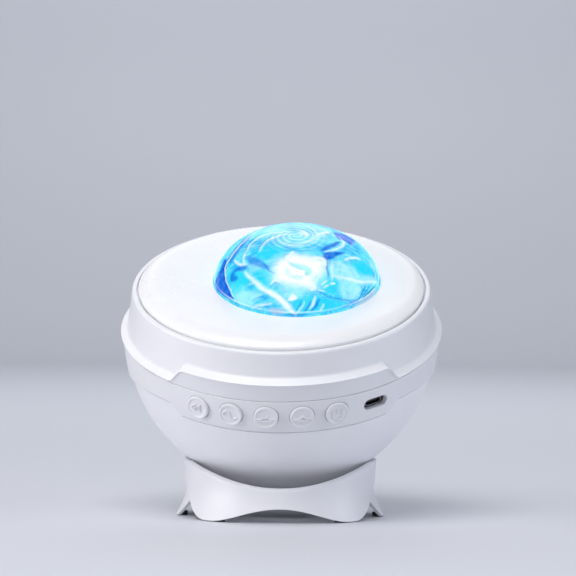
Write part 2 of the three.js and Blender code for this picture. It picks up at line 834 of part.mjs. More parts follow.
function makeChassis() {
  const bottom = chassisTop - chassisThickness;
  const plate = rod(chassisRadius, bottom, chassisTop, 48);
  const places = postAzimuths.map((azimuth) => polar(radians(azimuth), postPitchRadius, 0));
  const ears = places.map((place) => rod(earRadius, bottom, chassisTop, 20).translate(place.x, place.y, 0));
  const hangers = [[1, 1], [-1, 1], [-1, -1], [1, -1]].map(([sx, sy]) => {
    const hanger = rod(hangerRadius, bottom - hangerLength, bottom + weld, 12);
    return hanger.translate(domeX + sx * hangerX, domeY + sy * hangerY, 0);
  });
  const low = bottom - cutOverrun;
  const high = chassisTop + cutOverrun;
  const opening = block(sinkOpening, sinkOpening, low, high).translate(domeX, domeY, 0);
  const motorHole = rod(motorRadius + runningGap, low, high, 24).translate(motorX, domeY, 0);
  const bores = places.map((place) =>
    rod(screwShankRadius + boreGap, low, high, 12).translate(place.x, place.y, 0));
  return cut(join(plate, ...ears, ...hangers), opening, motorHole, ...bores);
}

const sinkTop = chassisTop + gap + sinkThickness;

function makeHeatSink() {
  const base = rod(sinkRadius, chassisTop + gap, sinkTop, 32);
  const pitch = (finSpan - finThickness) / (finCount - 1);
  const fins = Array.from({ length: finCount }, (_, i) => {
    const fin = block(finThickness, finSpan, chassisTop - finDepth, chassisTop + gap + weld);
    return fin.translate(-(finSpan - finThickness) / 2 + i * pitch, 0, 0);
  });
  return join(base, ...fins).translate(domeX, domeY, 0);
}

const ledBoardTop = sinkTop + gap + ledBoardThickness;
const ledAzimuths = [45, 135, 225, 315];

function makeLedBoard() {
  const hole = laserRadius + 2 * gap;
  const board = tube(hole, ledBoardRadius, sinkTop + gap, ledBoardTop, 32);
  const leds = ledAzimuths.map((azimuth) => {
    const place = polar(radians(azimuth), ledPitchRadius, 0);
    const led = block(ledSize, ledSize, ledBoardTop - weld, ledBoardTop + ledHeight);
    return led.translate(place.x, place.y, 0);
  });
  return join(board, ...leds).translate(domeX, domeY, 0);
}

function makeLedLens(azimuth) {
  const foot = ledBoardTop + gap;
  const recess = ledSize * 0.5 ** 0.5 + gap;
  const roof = foot + 2 * ledHeight;
  const top = foot + lensHeight;
  const place = polar(radians(azimuth), ledPitchRadius, 0);
  const lens = revolve([
    [0, roof], [recess, roof], [recess, foot], [lensFootRadius, foot], [lensRadius, foot + lensHeight * 0.5],
    [lensRadius, foot + lensHeight * 0.6], [lensRadius * 0.75, foot + lensHeight * 0.85],
    [lensRadius * 0.4, top - gap], [0, top],
  ], 14);
  return lens.translate(domeX + place.x, domeY + place.y, 0);
}

function makeLaser() {
  const bottom = sinkTop + gap;
  const top = bottom + laserLength;
  const neck = laserRadius * 0.6;
  return revolve([
    [0, bottom], [laserRadius, bottom], [laserRadius, top - laserRadius * 0.4], [neck, top - laserRadius * 0.2],
    [neck, top], [neck * 0.5, top], [neck * 0.5, top - laserRadius * 0.3], [0, top - laserRadius * 0.3],
  ], 20).translate(domeX, domeY, 0);
}

function makeOpticsTube() {
  const bottom = chassisTop + gap;
  const outer = tubeInnerRadius + tubeWall;
  return revolve([
    [tubeInnerRadius, bottom], [outer + tubeFlange, bottom], [outer + tubeFlange, bottom + tubeFlangeThickness],
    [outer, bottom + tubeFlangeThickness], [outer, tubeTop], [tubeInnerRadius, tubeTop],
  ], 32).translate(domeX, domeY, 0);
}

// Trapezoid teeth with their flanks narrowed by the backlash.
function gearShape(teeth, turn) {
  const pitchRadius = (gearModule * teeth) / 2;
  const root = pitchRadius - 1.25 * gearModule;
  const tip = pitchRadius + gearModule * 0.9;
  const tooth = (2 * Math.PI) / teeth;
  const slack = gearBacklash / pitchRadius / 2;
  const flanks = [[root, 0.31], [tip, 0.13]];
  const shape = new THREE.Shape();
  for (let i = 0; i < teeth; i += 1) {
    const middle = turn + i * tooth;
    const [[low, wide], [high, narrow]] = flanks;
    const corners = [[low, -wide], [high, -narrow], [high, narrow], [low, wide]];
    for (const [radius, share] of corners) {
      const angle = middle + share * tooth - Math.sign(share) * slack;
      const x = radius * Math.cos(angle);
      const y = radius * Math.sin(angle);
      if (i === 0 && share === -wide) {
        shape.moveTo(x, y);
      } else {
        shape.lineTo(x, y);
      }
    }
  }
  shape.closePath();
  return shape;
}

const discBottom = tubeTop + gap;

function makeRippleDisc() {
  const options = { depth: gearThickness, bevelEnabled: false };
  const gear = new THREE.ExtrudeGeometry(gearShape(ringTeeth, Math.PI), options).translate(0, 0, discBottom);
  const rimInner = ringPitchRadius - rippleRimWidth;
  const well = rod(rimInner, discBottom - cutOverrun, discBottom + gearThickness + cutOverrun, 40);
  const rim = cut(gear, well);
  const azimuths = Array.from({ length: 36 }, (_, i) => i * 10);
  const hole = gratingRadius + gap;
  const shares = [0, 0.3, 0.65, 1];
  const plate = sweep(azimuths, (azimuth) => {
    const top = shares.map((share) => {
      const radius = rimInner + weld + (hole - rimInner - weld) * share;
      const fade = Math.sin(Math.PI * share);
      const wave = Math.sin(rippleWaves * radians(azimuth) + 5 * share);
      return [radius, discBottom + rippleThickness + rippleRelief * fade * wave];
    });
    return [[hole, discBottom], [rimInner + weld, discBottom], ...top];
  });
  const skirtOuter = tubeInnerRadius - runningGap;
  const skirt = tube(skirtOuter - skirtWall, skirtOuter, discBottom - skirtDepth, discBottom + weld, 28);
  return join(rim, plate, skirt);
}

function makeGrating() {
  const lip = gratingRadius + gap;
  const seat = discBottom + rippleThickness + gap;
  return revolve([
    [0, seat - gratingThickness], [gratingRadius, seat - gratingThickness], [gratingRadius, seat],
    [lip + gratingThickness, seat], [lip + gratingThickness, seat + gratingThickness], [0, seat + gratingThickness],
  ], 24);
}

const motorTop = discBottom - gap - pinionThickness;

function makePinion() {
  const options = { depth: pinionThickness, bevelEnabled: false };
  const middle = discBottom + gearThickness / 2 - pinionThickness / 2;
  const pinion = new THREE.ExtrudeGeometry(gearShape(pinionTeeth, Math.PI / pinionTeeth), options);
  const shaft = rod(shaftRadius, motorTop + gap, middle + pinionThickness + weld, 12);
  return join(pinion.translate(0, 0, middle), shaft);
}

function makeMotor() {
  const seat = chassisTop + gap;
  const boss = shaftRadius * 3;
  const bossHeight = shaftRadius * 1.5;
  return revolve([
    [0, motorTop - motorLength], [motorRadius, motorTop - motorLength], [motorRadius, seat],
    [motorRadius + motorFlange, seat], [motorRadius + motorFlange, seat + motorFlangeThickness],
    [motorRadius, seat + motorFlangeThickness], [motorRadius, motorTop - bossHeight],
    [boss, motorTop - bossHeight], [boss, motorTop], [0, motorTop],
  ], 28).translate(motorX, domeY, 0);
}

function makeMainBoard() {
  const top = chassisTop - chassisThickness - hangerLength - gap;
  const bottom = top - mainBoardThickness;
  const board = block(mainBoardX, mainBoardY, bottom, top);
  const chip = block(chipSize, chipSize, bottom - chipHeight, bottom + weld).translate(chipX, chipY, 0);
  const radio = block(radioWidth, radioDepth, bottom - radioHeight, bottom + weld);
  const plug = block(plugWidth, plugDepth, bottom - plugHeight, bottom + weld).translate(plugX, plugY, 0);
  const can = rod(canRadius, bottom - canHeight, bottom + weld, 16).translate(canX, canY, 0);
  return join(board, chip, radio.translate(radioX, radioY, 0), plug, can).translate(domeX, domeY, 0);
}

// Speaker on the rib in the bottom of the bowl

const speakerTop = speakerFace + speakerDepth;

function makeSpeakerBasket() {
  const neck = speakerTop - speakerMagnetHeight;
  const hollow = speakerConeRadius + gap;
  return revolve([
    [0, speakerTop], [speakerMagnetRadius, speakerTop], [speakerMagnetRadius, neck],
    [speakerConeRadius + speakerRim, speakerFace + speakerRim], [speakerFlangeRadius, speakerFace + speakerRim],
    [speakerFlangeRadius, speakerFace], [hollow, speakerFace],
    [speakerMagnetRadius - speakerRim, neck - speakerRim], [0, neck - speakerRim],
  ], 24);
}

function makeSpeakerCone() {
  const edge = speakerConeRadius - gap;
  const low = speakerFace - gap;
  const cap = speakerConeRadius * 0.3;
  const top = speakerFace + speakerMagnetHeight * 0.6;
  return revolve([
    [0, top - 2 * coneThickness], [cap, top - coneThickness], [edge, low],
    [edge, low + coneThickness], [cap, top], [0, top - coneThickness],
  ], 24);
}

function makeScrew() {
  const seat = ledgeHeight + gap;
  const tip = chassisTop - chassisThickness - screwDepth + 2 * gap;
  const slotRadius = screwHeadRadius * 0.4;
  const slotDepth = screwHeadHeight * 0.5;
  return revolve([
    [0, tip], [screwShankRadius, tip + screwShankRadius], [screwShankRadius, seat], [screwHeadRadius, seat],
    [screwHeadRadius, seat + screwHeadHeight], [slotRadius, seat + screwHeadHeight],
    [slotRadius, seat + screwHeadHeight - slotDepth], [0, seat + screwHeadHeight - slotDepth],
  ], 12);
}

function add(group, name, geometry, look) {
  const mesh = new THREE.Mesh(geometry, look);
  mesh.name = name;
  group.add(mesh);
  return mesh;
}

function makeStand() {
  const stand = new THREE.Group();
  add(stand, 'stand_skirt', makeSkirt(), materials.stand);
  const lobe = (archHalfAngle + lobeOuterAngle) / 2;
  const lobes = [lobe, 180 - lobe, 180 + lobe, -lobe];
  lobes.forEach((azimuth, i) => {
    add(stand, `foot_pad_${i + 1}`, makeFootPad(azimuth, padHalfAngle, skirtRadius), materials.rubber);
  });
  [sideAngle, -sideAngle].forEach((azimuth, i) => {
    add(stand, `leg_pad_${i + 1}`, makeFootPad(azimuth, legPadHalfAngle, legRadius), materials.rubber);
  });
  add(stand, 'seat_cup', makeSeatCup(), materials.silicone);
  return stand;
}

function makeHead() {
  const head = new THREE.Group();
  add(head, 'lower_bowl', makeBowl(), materials.shell);
  add(head, 'control_band', makeControlBand(), materials.shell);
  add(head, 'upper_shell', makeUpperShell(), materials.shell);
  add(head, 'top_cover', makeTopCover(), materials.cover);
  add(head, 'dome_lens', makeDome(), materials.dome);
  add(head, 'dome_retainer', makeRetainer(), materials.whitePlastic);
  add(head, 'light_funnel', makeFunnel(), materials.whitePlastic);
  buttonAzimuths.forEach((azimuth, i) => {
    const button = add(head, `button_${i + 1}`, makeButton(), materials.icon);
    button.rotation.set(Math.PI / 2, radians(azimuth), 0, 'ZXY');
    button.position.z = buttonHeight;
  });
  add(head, 'control_board', makeControlBoard(), materials.board);
  add(head, 'usb_inlet', makeUsbInlet(), materials.blackPlastic);
  add(head, 'chassis', makeChassis(), materials.blackPlastic);
  add(head, 'heat_sink', makeHeatSink(), materials.aluminium);
  add(head, 'led_board', makeLedBoard(), materials.whitePlastic);
  ledAzimuths.forEach((azimuth, i) => {
    add(head, `led_lens_${i + 1}`, makeLedLens(azimuth), materials.lens);
  });
  add(head, 'laser_module', makeLaser(), materials.brass);
  add(head, 'optics_tube', makeOpticsTube(), materials.blackPlastic);
  const disc = add(head, 'ripple_disc', makeRippleDisc(), materials.lens);
  disc.position.set(domeX, domeY, 0);
  const grating = add(head, 'star_grating', makeGrating(), materials.lens);
  grating.position.set(domeX, domeY, 0);
  const pinion = add(head, 'motor_pinion', makePinion(), materials.brass);
  pinion.position.set(motorX, domeY, 0);
  add(head, 'drive_motor', makeMotor(), materials.steel);
  add(head, 'main_board', makeMainBoard(), materials.board);
  add(head, 'speaker_basket', makeSpeakerBasket(), materials.steel);
  add(head, 'speaker_cone', makeSpeakerCone(), materials.paper);
  postAzimuths.forEach((azimuth, i) => {
    const screw = add(head, `case_screw_${i + 1}`, makeScrew(), materials.steel);
    screw.position.copy(polar(radians(azimuth), postPitchRadius, 0));
  });
  return head;
}

// The head turns about its own axis, leans a little sideways and tilts towards the front.
const head = makeHead();
head.rotation.set(radians(tiltAngle), radians(leanAngle), radians(spinAngle));
head.position.z = pivotHeight;

const model = new THREE.Group();
model.add(makeStand());
model.add(head);

export default model;
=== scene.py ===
import math

import bmesh
import bpy
import numpy as np
from mathutils import Matrix, Vector, noise


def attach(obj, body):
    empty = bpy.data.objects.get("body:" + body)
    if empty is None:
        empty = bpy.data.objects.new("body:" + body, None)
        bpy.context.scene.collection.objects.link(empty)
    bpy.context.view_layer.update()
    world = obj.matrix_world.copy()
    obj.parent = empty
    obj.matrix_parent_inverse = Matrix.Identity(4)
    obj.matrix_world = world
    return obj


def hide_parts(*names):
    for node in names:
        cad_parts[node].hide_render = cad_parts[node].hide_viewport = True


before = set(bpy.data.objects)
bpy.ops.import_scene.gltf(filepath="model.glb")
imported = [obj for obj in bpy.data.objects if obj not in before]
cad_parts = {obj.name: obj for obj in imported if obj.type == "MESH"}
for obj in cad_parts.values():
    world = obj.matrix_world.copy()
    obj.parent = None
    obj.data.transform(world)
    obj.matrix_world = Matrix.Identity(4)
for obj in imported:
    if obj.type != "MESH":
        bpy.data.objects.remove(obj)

bl_info = {
    "name": "Star projector",
    "version": (1, 0, 0),
    "blender": (4, 5, 0),
    "location": "View3D > Sidebar > Projector",
    "description": "Dresses the packed star projector with its finished shells, dome, buttons and stand",
    "category": "Object",
}

# The head's own frame: +Z out of the dome, -Y towards the buttons, origin at the bowl's centre.
# Azimuths are in degrees, 0 at the front and growing to the right.
TILT = math.radians(25.1)
LEAN = math.radians(-0.5)
SPIN = math.radians(1.7)
PIVOT_HEIGHT = 0.0885
HEAD = (
    Matrix.Translation((0, 0, PIVOT_HEIGHT))
    @ Matrix.Rotation(TILT, 4, "X")
    @ Matrix.Rotation(LEAN, 4, "Y")
    @ Matrix.Rotation(SPIN, 4, "Z")
)

# Bowl and control band, in metres from the bowl's centre
BOWL_RADIUS = 0.0754
BOWL_WALL = 0.0024
GAP = 0.0003
RUNNING_GAP = 0.0004
BAND_GAP = 0.0014
SEAM_HEIGHT = 0.0028
SEAM_LINE = 0.0002
BAND_TOP_RADIUS = 0.0772
BAND_PROUD = 0.0013
BAND_BOTTOM = -0.0086
BAND_SIDE_DROP = 0.0069
BAND_INNER_RADIUS = 0.0736
PANEL_BOTTOM = -0.0139
PANEL_ANGLE = 39.5
PANEL_RAMP = 6
SIDE_ANGLE = 90
TONGUE_WALL = 0.0018
TONGUE_HEIGHT = 0.0035
PANEL_TONGUE_HEIGHT = 0.0016
SOUND_RINGS = ((0, 1), (0.006, 6), (0.0115, 12))
SOUND_HOLE_RADIUS = 0.0014
SOUND_HOLE_SPAN = (-0.078, -0.068)
CUT_MARGIN = 0.002

# Upper shell
FOOT_STEP = 0.00025
LIP_RADIUS = 0.0783
LIP_HEIGHT = 0.0039
LIP_DROP = 0.0005
LIP_BAND = 0.0018
LIP_RAISE = 0.0076
LIP_ANGLE = 36
LIP_RAMP = 9.5
SHELL_FOOT = 0.0747
SHELL_TOP = 0.072
SHELL_WALL = 0.0023
RIM_HEIGHT = 0.0253
RIM_SHOULDER = 0.0231
RIM_ROUND = 0.00154
RIM_GROOVE = 0.0009
LEDGE_HEIGHT = 0.0236
LEDGE_RADIUS = 0.065
LEDGE_THICKNESS = 0.0022

# Top cover. Its edge rolls over in steps, each a share of the roll's width.
COVER_RADIUS = 0.0689
COVER_EDGE = 0.0261
COVER_CROWN = 0.0292
COVER_THICKNESS = 0.0022
COVER_UNDERCUT = 0.0015
COVER_ROLL = 0.009
ROLL_SHARES = (0, 0.02, 0.06, 0.12, 0.2, 0.3, 0.42, 0.56, 0.7, 0.85, 1)
ROLL_BEND = 2.2
ROLL_RISE = 0.75
DOME_CHAMFER = 0.0006
CHAMFER_BELOW = 0.0004
CHAMFER_ABOVE = 0.0002

# How much of the edge round each edge gets
FINE_EDGE = 0.4
RIM_INNER_EDGE = 0.6
SEAM_EDGE = 0.8
LIP_EDGE = 1.1
LIP_TOP_EDGE = 1.6
STAND_RIM_EDGE = 3

# Dome
DOME_AT = HEAD @ Matrix.Translation((0.0074, -0.0018, 0))
DOME_RADIUS = 0.0398
DOME_TOP = 0.0544
DOME_SPRING = 0.0295
DOME_SKIRT = 0.003
DOME_ROWS = 150
DOME_COLUMNS = 420
CRYSTAL_SCALE = 7
CRYSTAL_RISE = 0.4
CRYSTAL_MIDDLE = 0.6
CRYSTAL_START = 0.4
CRYSTAL_FADE = 0.3
RELIEF_MIDDLE = 0.5
RELIEF_SHARES = {"white": 0.9, "pale": 0.4, "line": -0.7, "deep": -0.3}
BORDER_PLACE = 0.97
BORDER_FADE = 0.1

# The dome's moulded and lit drawing, placed on its plan: +X to the right, +Y to the back,
# in hundredths of the rim's radius. Each row of a layer has a stroke's width, or 0 for a filled
# patch, and its softness, both in thousandths, its strength in hundredths, and its points.
DOME_MARKS = {
    "cyan": (
        (0, 110, 90, ((-25, -14), (-10, -25), (-13, -32), (-27, -32), (-36, -21))),
        (0, 90, 100, ((48, -28), (64, -18), (76, -24), (59, -39), (48, -36))),
        (0, 90, 90, ((-62, -30), (-45, -40), (-48, -53), (-63, -56), (-67, -46))),
        (0, 80, 80, ((-6, -81), (26, -77), (49, -80), (46, -86), (2, -98))),
        (0, 80, 80, ((21, -56), (36, -55), (40, -67), (25, -70))),
        (0, 80, 70, ((-31, -41), (-22, -53), (-31, -62), (-41, -49))),
        (70, 60, 80, ((-10, -25), (6, -28), (22, -26))),
    ),
    "pale": (
        (0, 90, 80, ((30, -36), (48, -33), (59, -39), (82, -25), (83, -33), (52, -51), (32, -51))),
        (0, 60, 60, ((38, -56), (63, -49), (65, -66), (46, -73))),
        (0, 60, 60, ((-70, -60), (-50, -60), (-37, -70), (-53, -77), (-67, -72))),
        (0, 60, 50, ((-43, -34), (-34, -33), (-31, -41), (-40, -43))),
        (0, 90, 40, ((-22, 29), (-1, 24), (20, 19), (25, 1), (14, -14), (-2, -19), (-17, -11), (-25, 1))),
        (0, 160, 80, ((-18, -34), (-2, -29), (22, -33), (25, -53), (15, -69), (-7, -70), (-23, -61), (-25, -48))),
        (0, 40, 60, ((-10, -80), (-17, -71), (-9, -65), (4, -70), (2, -79))),
        # These two strokes along the left and right rims are painted sheen: the paler edge where the dome turns away.
        (26, 20, 70, ((-94, -5), (-83, -1), (-74, 7), (-64, 13), (-54, 25))),
        (22, 18, 80, ((89, -17), (80, -8), (71, -2), (59, 2))),
    ),
    "deep": (
        (0, 30, 100, ((-68, -2), (-65, -15), (-70, -24), (-71, -36), (-72, -48), (-73, -61), (-84, -50), (-95, -30),
            (-98, -14), (-86, -12), (-76, -10))),
        (0, 50, 75, ((-37, 16), (-44, 14), (-51, 6), (-59, -3), (-65, -8), (-61, -17), (-52, -11), (-43, 1))),
        (0, 40, 80, ((-45, -31), (-53, -29), (-62, -30), (-67, -39), (-62, -43), (-56, -42), (-58, -34),
            (-46, -36))),
        (0, 36, 100, ((30, 11), (38, 19), (46, 20), (52, 16), (46, -1), (39, 0), (34, 0))),
        (0, 30, 90, ((20, -20), (25, -13), (34, -5), (36, -6), (30, -15), (23, -22), (19, -24))),
        (0, 36, 100, ((20, -27), (25, -24), (33, -21), (39, -19), (34, -26), (29, -31), (25, -34), (21, -34))),
        (0, 40, 60, ((-42, -20), (-32, -30), (-24, -43), (-31, -41), (-41, -32))),
        (20, 14, 90, ((23, -32), (24, -42), (26, -55))),
        (34, 18, 100, ((70, -46), (69, -58), (67, -67), (59, -75), (49, -83))),
        (20, 12, 90, ((77, -40), (74, -52), (71, -63))),
        (30, 18, 90, ((13, -81), (9, -89), (5, -97))),
        (40, 20, 95, ((21, -79), (18, -87), (13, -95))),
        (34, 22, 70, ((-18, -97), (-5, -99), (8, -98))),
        (16, 14, 80, ((-30, -34), (-26, -43), (-20, -51))),
        (22, 18, 70, ((17, -71), (32, -75), (49, -74), (66, -68))),
        (22, 14, 60, ((-50, -74), (-38, -72), (-30, -76))),
        (22, 14, 50, ((-43, -87), (-34, -83), (-30, -80))),
        (18, 14, 50, ((-25, -63), (-21, -61), (-16, -64))),
    ),
    # The white marks are partly the lamp's glow in the dome and partly painted highlights of its glossy surface.
    "white": (
        (0, 120, 100, ((-4, -31), (2, -33), (12, -36), (19, -37), (21, -42), (20, -49), (13, -56), (13, -61),
            (12, -66), (4, -66), (-7, -63), (-15, -60), (-20, -56), (-18, -51), (-19, -44), (-15, -38), (-9, -36))),
        (30, 30, 90, ((-9, -36), (-5, -30), (-4, -28))),
        (40, 30, 90, ((10, -36), (20, -34), (23, -42))),
        (40, 30, 90, ((13, -61), (14, -67), (11, -69))),
        (60, 40, 100, ((-47, -39), (-38, -58), (-28, -69), (-18, -78), (-10, -90), (-4, -98))),
        (50, 40, 90, ((-28, -69), (-18, -82), (-8, -95))),
        (26, 16, 95, ((-22, 38), (-32, 21), (-40, 12), (-48, 2), (-58, -7), (-66, -14), (-70, -22), (-72, -35),
            (-72, -48), (-71, -59))),
        (30, 18, 85, ((-5, 2), (-17, 4), (-25, 3), (-33, 0), (-40, -8), (-45, -18), (-46, -29))),
        (36, 22, 70, ((-4, -3), (-12, -3), (-20, -6), (-26, -11), (-31, -21))),
        (40, 22, 80, ((-55, -18), (-51, -27), (-44, -31))),
        (60, 30, 80, ((4, 4), (8, -6))),
        (44, 26, 80, ((17, -2), (26, 9))),
        (22, 16, 60, ((5, 19), (11, 13), (15, 2), (14, -8), (7, -16), (-3, -19), (-13, -14))),
        (22, 16, 60, ((14, 22), (21, 15), (25, 4))),
        (26, 16, 80, ((22, -25), (31, -19), (38, -9), (38, -2), (33, 6))),
        (34, 20, 85, ((40, -29), (47, -22), (56, -18))),
        (18, 12, 80, ((66, -9), (76, -13), (84, -21), (91, -29))),
        (26, 16, 60, ((28, -35), (29, -47), (30, -57))),
        (40, 28, 75, ((31, -51), (47, -50), (67, -43), (89, -24))),
        (34, 20, 75, ((-54, -81), (-41, -81), (-29, -82))),
        (34, 18, 85, ((16, -76), (15, -84), (11, -91))),
        (0, 22, 90, ((-11, -81), (-6, -74), (-2, -80))),
        (24, 14, 70, ((23, -93), (27, -83))),
        (16, 10, 80, ((6, -81), (2, -90), (-3, -98))),
        (28, 16, 75, ((-26, -61), (-22, -58), (-18, -60))),
        (22, 12, 80, ((21, -64), (25, -58))),
        (22, 12, 80, ((23, -67), (28, -62))),
        (34, 14, 85, ((29, -60), (33, -59))),
        (18, 12, 60, ((15, -61), (19, -52))),
        (22, 12, 60, ((17, -69), (25, -70))),
    ),
    "hole": (
        (0, 30, 90, ((-8, -39), (-3, -41), (8, -45), (11, -49), (10, -54), (6, -55), (5, -51), (0, -48),
            (-6, -44))),
        (0, 40, 60, ((-11, -47), (-8, -47), (-6, -52), (-3, -54), (4, -56), (2, -60), (-4, -59), (-10, -53))),
    ),
    "line": (
        (9, 6, 80, ((-32, 7), (-38, -2), (-44, -14), (-47, -20))),
        (9, 6, 80, ((-51, 3), (-59, -5), (-67, -13), (-72, -20), (-74, -33))),
        (8, 6, 50, ((-20, -2), (-25, -7), (-29, -15))),
        (9, 6, 70, ((3, -81), (-1, -89), (-4, -96))),
        (16, 10, 80, ((88, -32), (79, -49), (74, -61))),
        (10, 8, 60, ((88, 6), (89, -12), (93, -23))),
        (10, 10, 40, ((24, -35), (25, -44), (26, -53))),
        (9, 7, 35, ((-17, -12), (-8, -23), (6, -26), (20, -24))),
    ),
    "grey": (
        (0, 36, 90, ((93, -31), (84, -46), (75, -62), (64, -76), (80, -61), (92, -40))),
        (0, 60, 70, ((-34, -89), (-20, -89), (-16, -95), (-28, -96))),
    ),
}
STROKE_SHARE = 0.62
LINE_SHARE = 1.2
SOFT_SHARE = 1.7
STROKE_TAPER = 0.6
WAVER = 0.004
FINE_WAVER = 0.002

# The spiral on top, and the rings of light near the rim: layer, place, width and strength
RING_PITCH = 0.045
RING_ARMS = 2
RING_SWAY = 1.5
RING_REACH = 0.3
RING_FADE = 0.14
RING_CENTRE = (-0.01, -0.04)
RING_SHINE = 0.38
RING_SHADE = 0.12
RIM_RINGS = (("line", 0.985, 0.008, 0.55), ("white", 0.955, 0.014, 0.6))

# Controls
BUTTON_AZIMUTHS = (-31.7, -19.2, -6.7, 5.8, 18.3)
BUTTON_RADIUS = 0.00575
BUTTON_HEIGHT = -0.0055
BUTTON_PROUD = 0.0014
BUTTON_FLANGE = 0.001
BUTTON_ROUND = 0.0012
STEM_RADIUS = 0.0018
STEM_DEPTH = 0.0023
DISH_DEPTH = 0.0004
DISH_OUTER = 0.8
DISH_INNER = 0.7
DISH_ROUND = 0.0003
SIGN_SUNK = 0.0001
SIGN_SHOULDER = 0.6
SIGN_BACK = 0.4
HOLE_GAP = 0.0002
INLET_AZIMUTH = 33.9
INLET_HEIGHT = -0.0055
INLET_WIDTH = 0.0132
INLET_SLOT = 0.005
INLET_SET_BACK = 0.003
INLET_DEPTH = 0.0066
FLARE_DEPTH = 0.0006
FLARE_SPREAD = 0.0012
PORT_WIDTH = 0.0086
PORT_HEIGHT = 0.0028
PORT_WALL = 0.0004
PORT_PROUD = 0.0003
PORT_BACK = 0.001
PORT_FLOOR = 0.0015
PORT_TONGUE_BACK = 0.0014
PORT_TONGUE_FRONT = 0.0006
PORT_TONGUE_HALF_WIDTH = 0.0033
PORT_TONGUE_HALF_HEIGHT = 0.0004

# Stand
FOOT_RADIUS = 0.0505
FOOT_CURVE = 1.7
WAIST_RADIUS = 0.0462
WAIST_HEIGHT = 0.0155
MOUTH_RADIUS = 0.0469
MOUTH_CURVE = 1.5
SIDE_RIM = 0.0281
FRONT_RIM = 0.0152
SKIRT_WALL = 0.0019
SKIRT_ROWS = (0, 0.04, 0.12, 0.22, 0.34, 0.48, 0.64, 0.82, 1)
STAND_BENDS = ((0, 60), (60, 60))
CRADLE_LIFT = 0.0012
PAD_RISE = 0.0003
ARCH_HEIGHT = 0.0065
ARCH_ANGLE = 41
LOBE_ANGLE = 45
PANEL_EDGE_RISE = 0.0169
LEG_INSET = 0.0009
LEG_FLARE = 0.0012
LEG_FOOT_ANGLE = 10
LEG_ANGLE = 29
LEG_STEPS = 24
LEG_SLOPE = 0.00065
LEG_TOP_DROP = 0.0012
FLOOR_HEIGHT = 0.009
FLOOR_THICKNESS = 0.002
FLOOR_EDGE = 0.0003
HUB_RADIUS = 0.017
SPOKE_WIDTH = 0.009
SPOKE_BITE = 0.0006
SPOKE_DROP = 0.00002
SPOKE_AZIMUTHS = (45, 135, 225, 315)
CUP_INNER = 0.008
CUP_PIN_RISE = 0.0014

# Mesh making
HEAD_SEGMENTS = 180
BOWL_ROWS = 34
BOWL_INNER_ROWS = 14
COVER_SEGMENTS = 192
DOME_HOLE_SEGMENTS = 144
PIN_SEGMENTS = 72
SOUND_HOLE_SEGMENTS = 20
STAND_SEGMENTS = 240
RAMP_STEPS = 12
CORNER_REACH = 0.48
WELD = 1e-7
SMOOTH_ANGLE = 32

# Finishes
PLASTIC_IOR = 1.49

# Camera, fitted to the photograph
CAMERA_DISTANCE = 1.2
CAMERA_LENS = 153.7
CAMERA_SENSOR = 36.0
CAMERA_SIDE = 0.00302
CAMERA_RISE = 0.02206
CAMERA_PITCH = math.radians(0.18)
CAMERA_ROLL = math.radians(0.47)

# Studio. Each lamp has its place, size, power in watts and colour, and its aim if not at the projector.
FLOOR_HALF_WIDTH = 6.0
FLOOR_FRONT = -4.1
BACKDROP_PLACE = 2.6
BACKDROP_TOP = 3.2
BACKDROP_BEND = 0.5
BEND_STEPS = 15
WORLD_COLOUR = (0.92, 0.94, 1.0, 1)
WORLD_STRENGTH = 0.26
AT_PROJECTOR = (0, 0, PIVOT_HEIGHT)
LAMPS = {
    "key": ((-0.25, -0.75, 1.35), 1.0, 15, (1.0, 1.0, 1.0)),
    "left": ((-1.3, -0.45, 0.25), 0.8, 9.5, (1.0, 0.99, 1.0)),
    "right": ((1.3, -0.3, 0.35), 0.8, 5.5, (0.82, 0.88, 1.0)),
    "low": ((-0.1, -1.5, 0.08), 0.5, 1.2, (1.0, 1.0, 1.0)),
    "back": ((0.0, 1.1, 1.2), 1.0, 3, (0.9, 0.95, 1.0)),
    "backdrop": ((0.0, 1.0, 1.7), 1.4, 16, (0.92, 0.95, 1.0), (0.0, 2.6, 0.7)),
}


def length(name, description, default, low, high):
    return bpy.props.FloatProperty(
        name=name, description=description, default=default, min=low, max=high, unit="LENGTH")


def finish(name, description, default):
    return bpy.props.FloatVectorProperty(
        name=name, description=description, default=default, min=0, max=1, subtype="COLOR")


class ProjectorSizes(bpy.types.PropertyGroup):
    edge_round: length("Edge round", "Radius of the moulded edges", 0.0006, 0.0001, 0.002)
    relief: length("Dome relief", "Height of the curling ridges on the dome", 0.0006, 0, 0.002)
    icon_height: length("Icon height", "How far the signs stand out of the buttons", 0.0006, 0, 0.001)
    icon_line: length("Icon line", "Width of the lines of the signs", 0.0008, 0.0002, 0.002)


class ProjectorColours(bpy.types.PropertyGroup):
    shell: finish("Shell", "White of the bowl, band and shell", (0.80, 0.80, 0.84))
    cover: finish("Cover", "White of the top cover", (0.86, 0.86, 0.88))
    stand: finish("Stand", "White of the stand", (0.80, 0.80, 0.84))
    dome_deep: finish("Dome deep blue", "Darkest blue in the dome", (0.0, 0.1, 0.66))
    dome_bright: finish("Dome cyan", "Main cyan of the dome", (0.02, 0.68, 0.99))
    floor: finish("Floor", "Pale floor and backdrop", (0.66, 0.67, 0.72))


# Shader nodes as Python expressions

class Socket:
    """A node's output that takes part in Python sums, each of which adds a Math node."""

    def __init__(self, shader, output):
        self.shader = shader
        self.output = output

    def maths(self, operation, first, second):
        return self.shader.node("ShaderNodeMath", {"operation": operation}, {0: first, 1: second})

    def __add__(self, other):
        return self.maths("ADD", self, other)

    def __radd__(self, other):
        return self.maths("ADD", other, self)

    def __sub__(self, other):
        return self.maths("SUBTRACT", self, other)

    def __rsub__(self, other):
        return self.maths("SUBTRACT", other, self)

    def __mul__(self, other):
        return self.maths("MULTIPLY", self, other)

    def __rmul__(self, other):
        return self.maths("MULTIPLY", other, self)


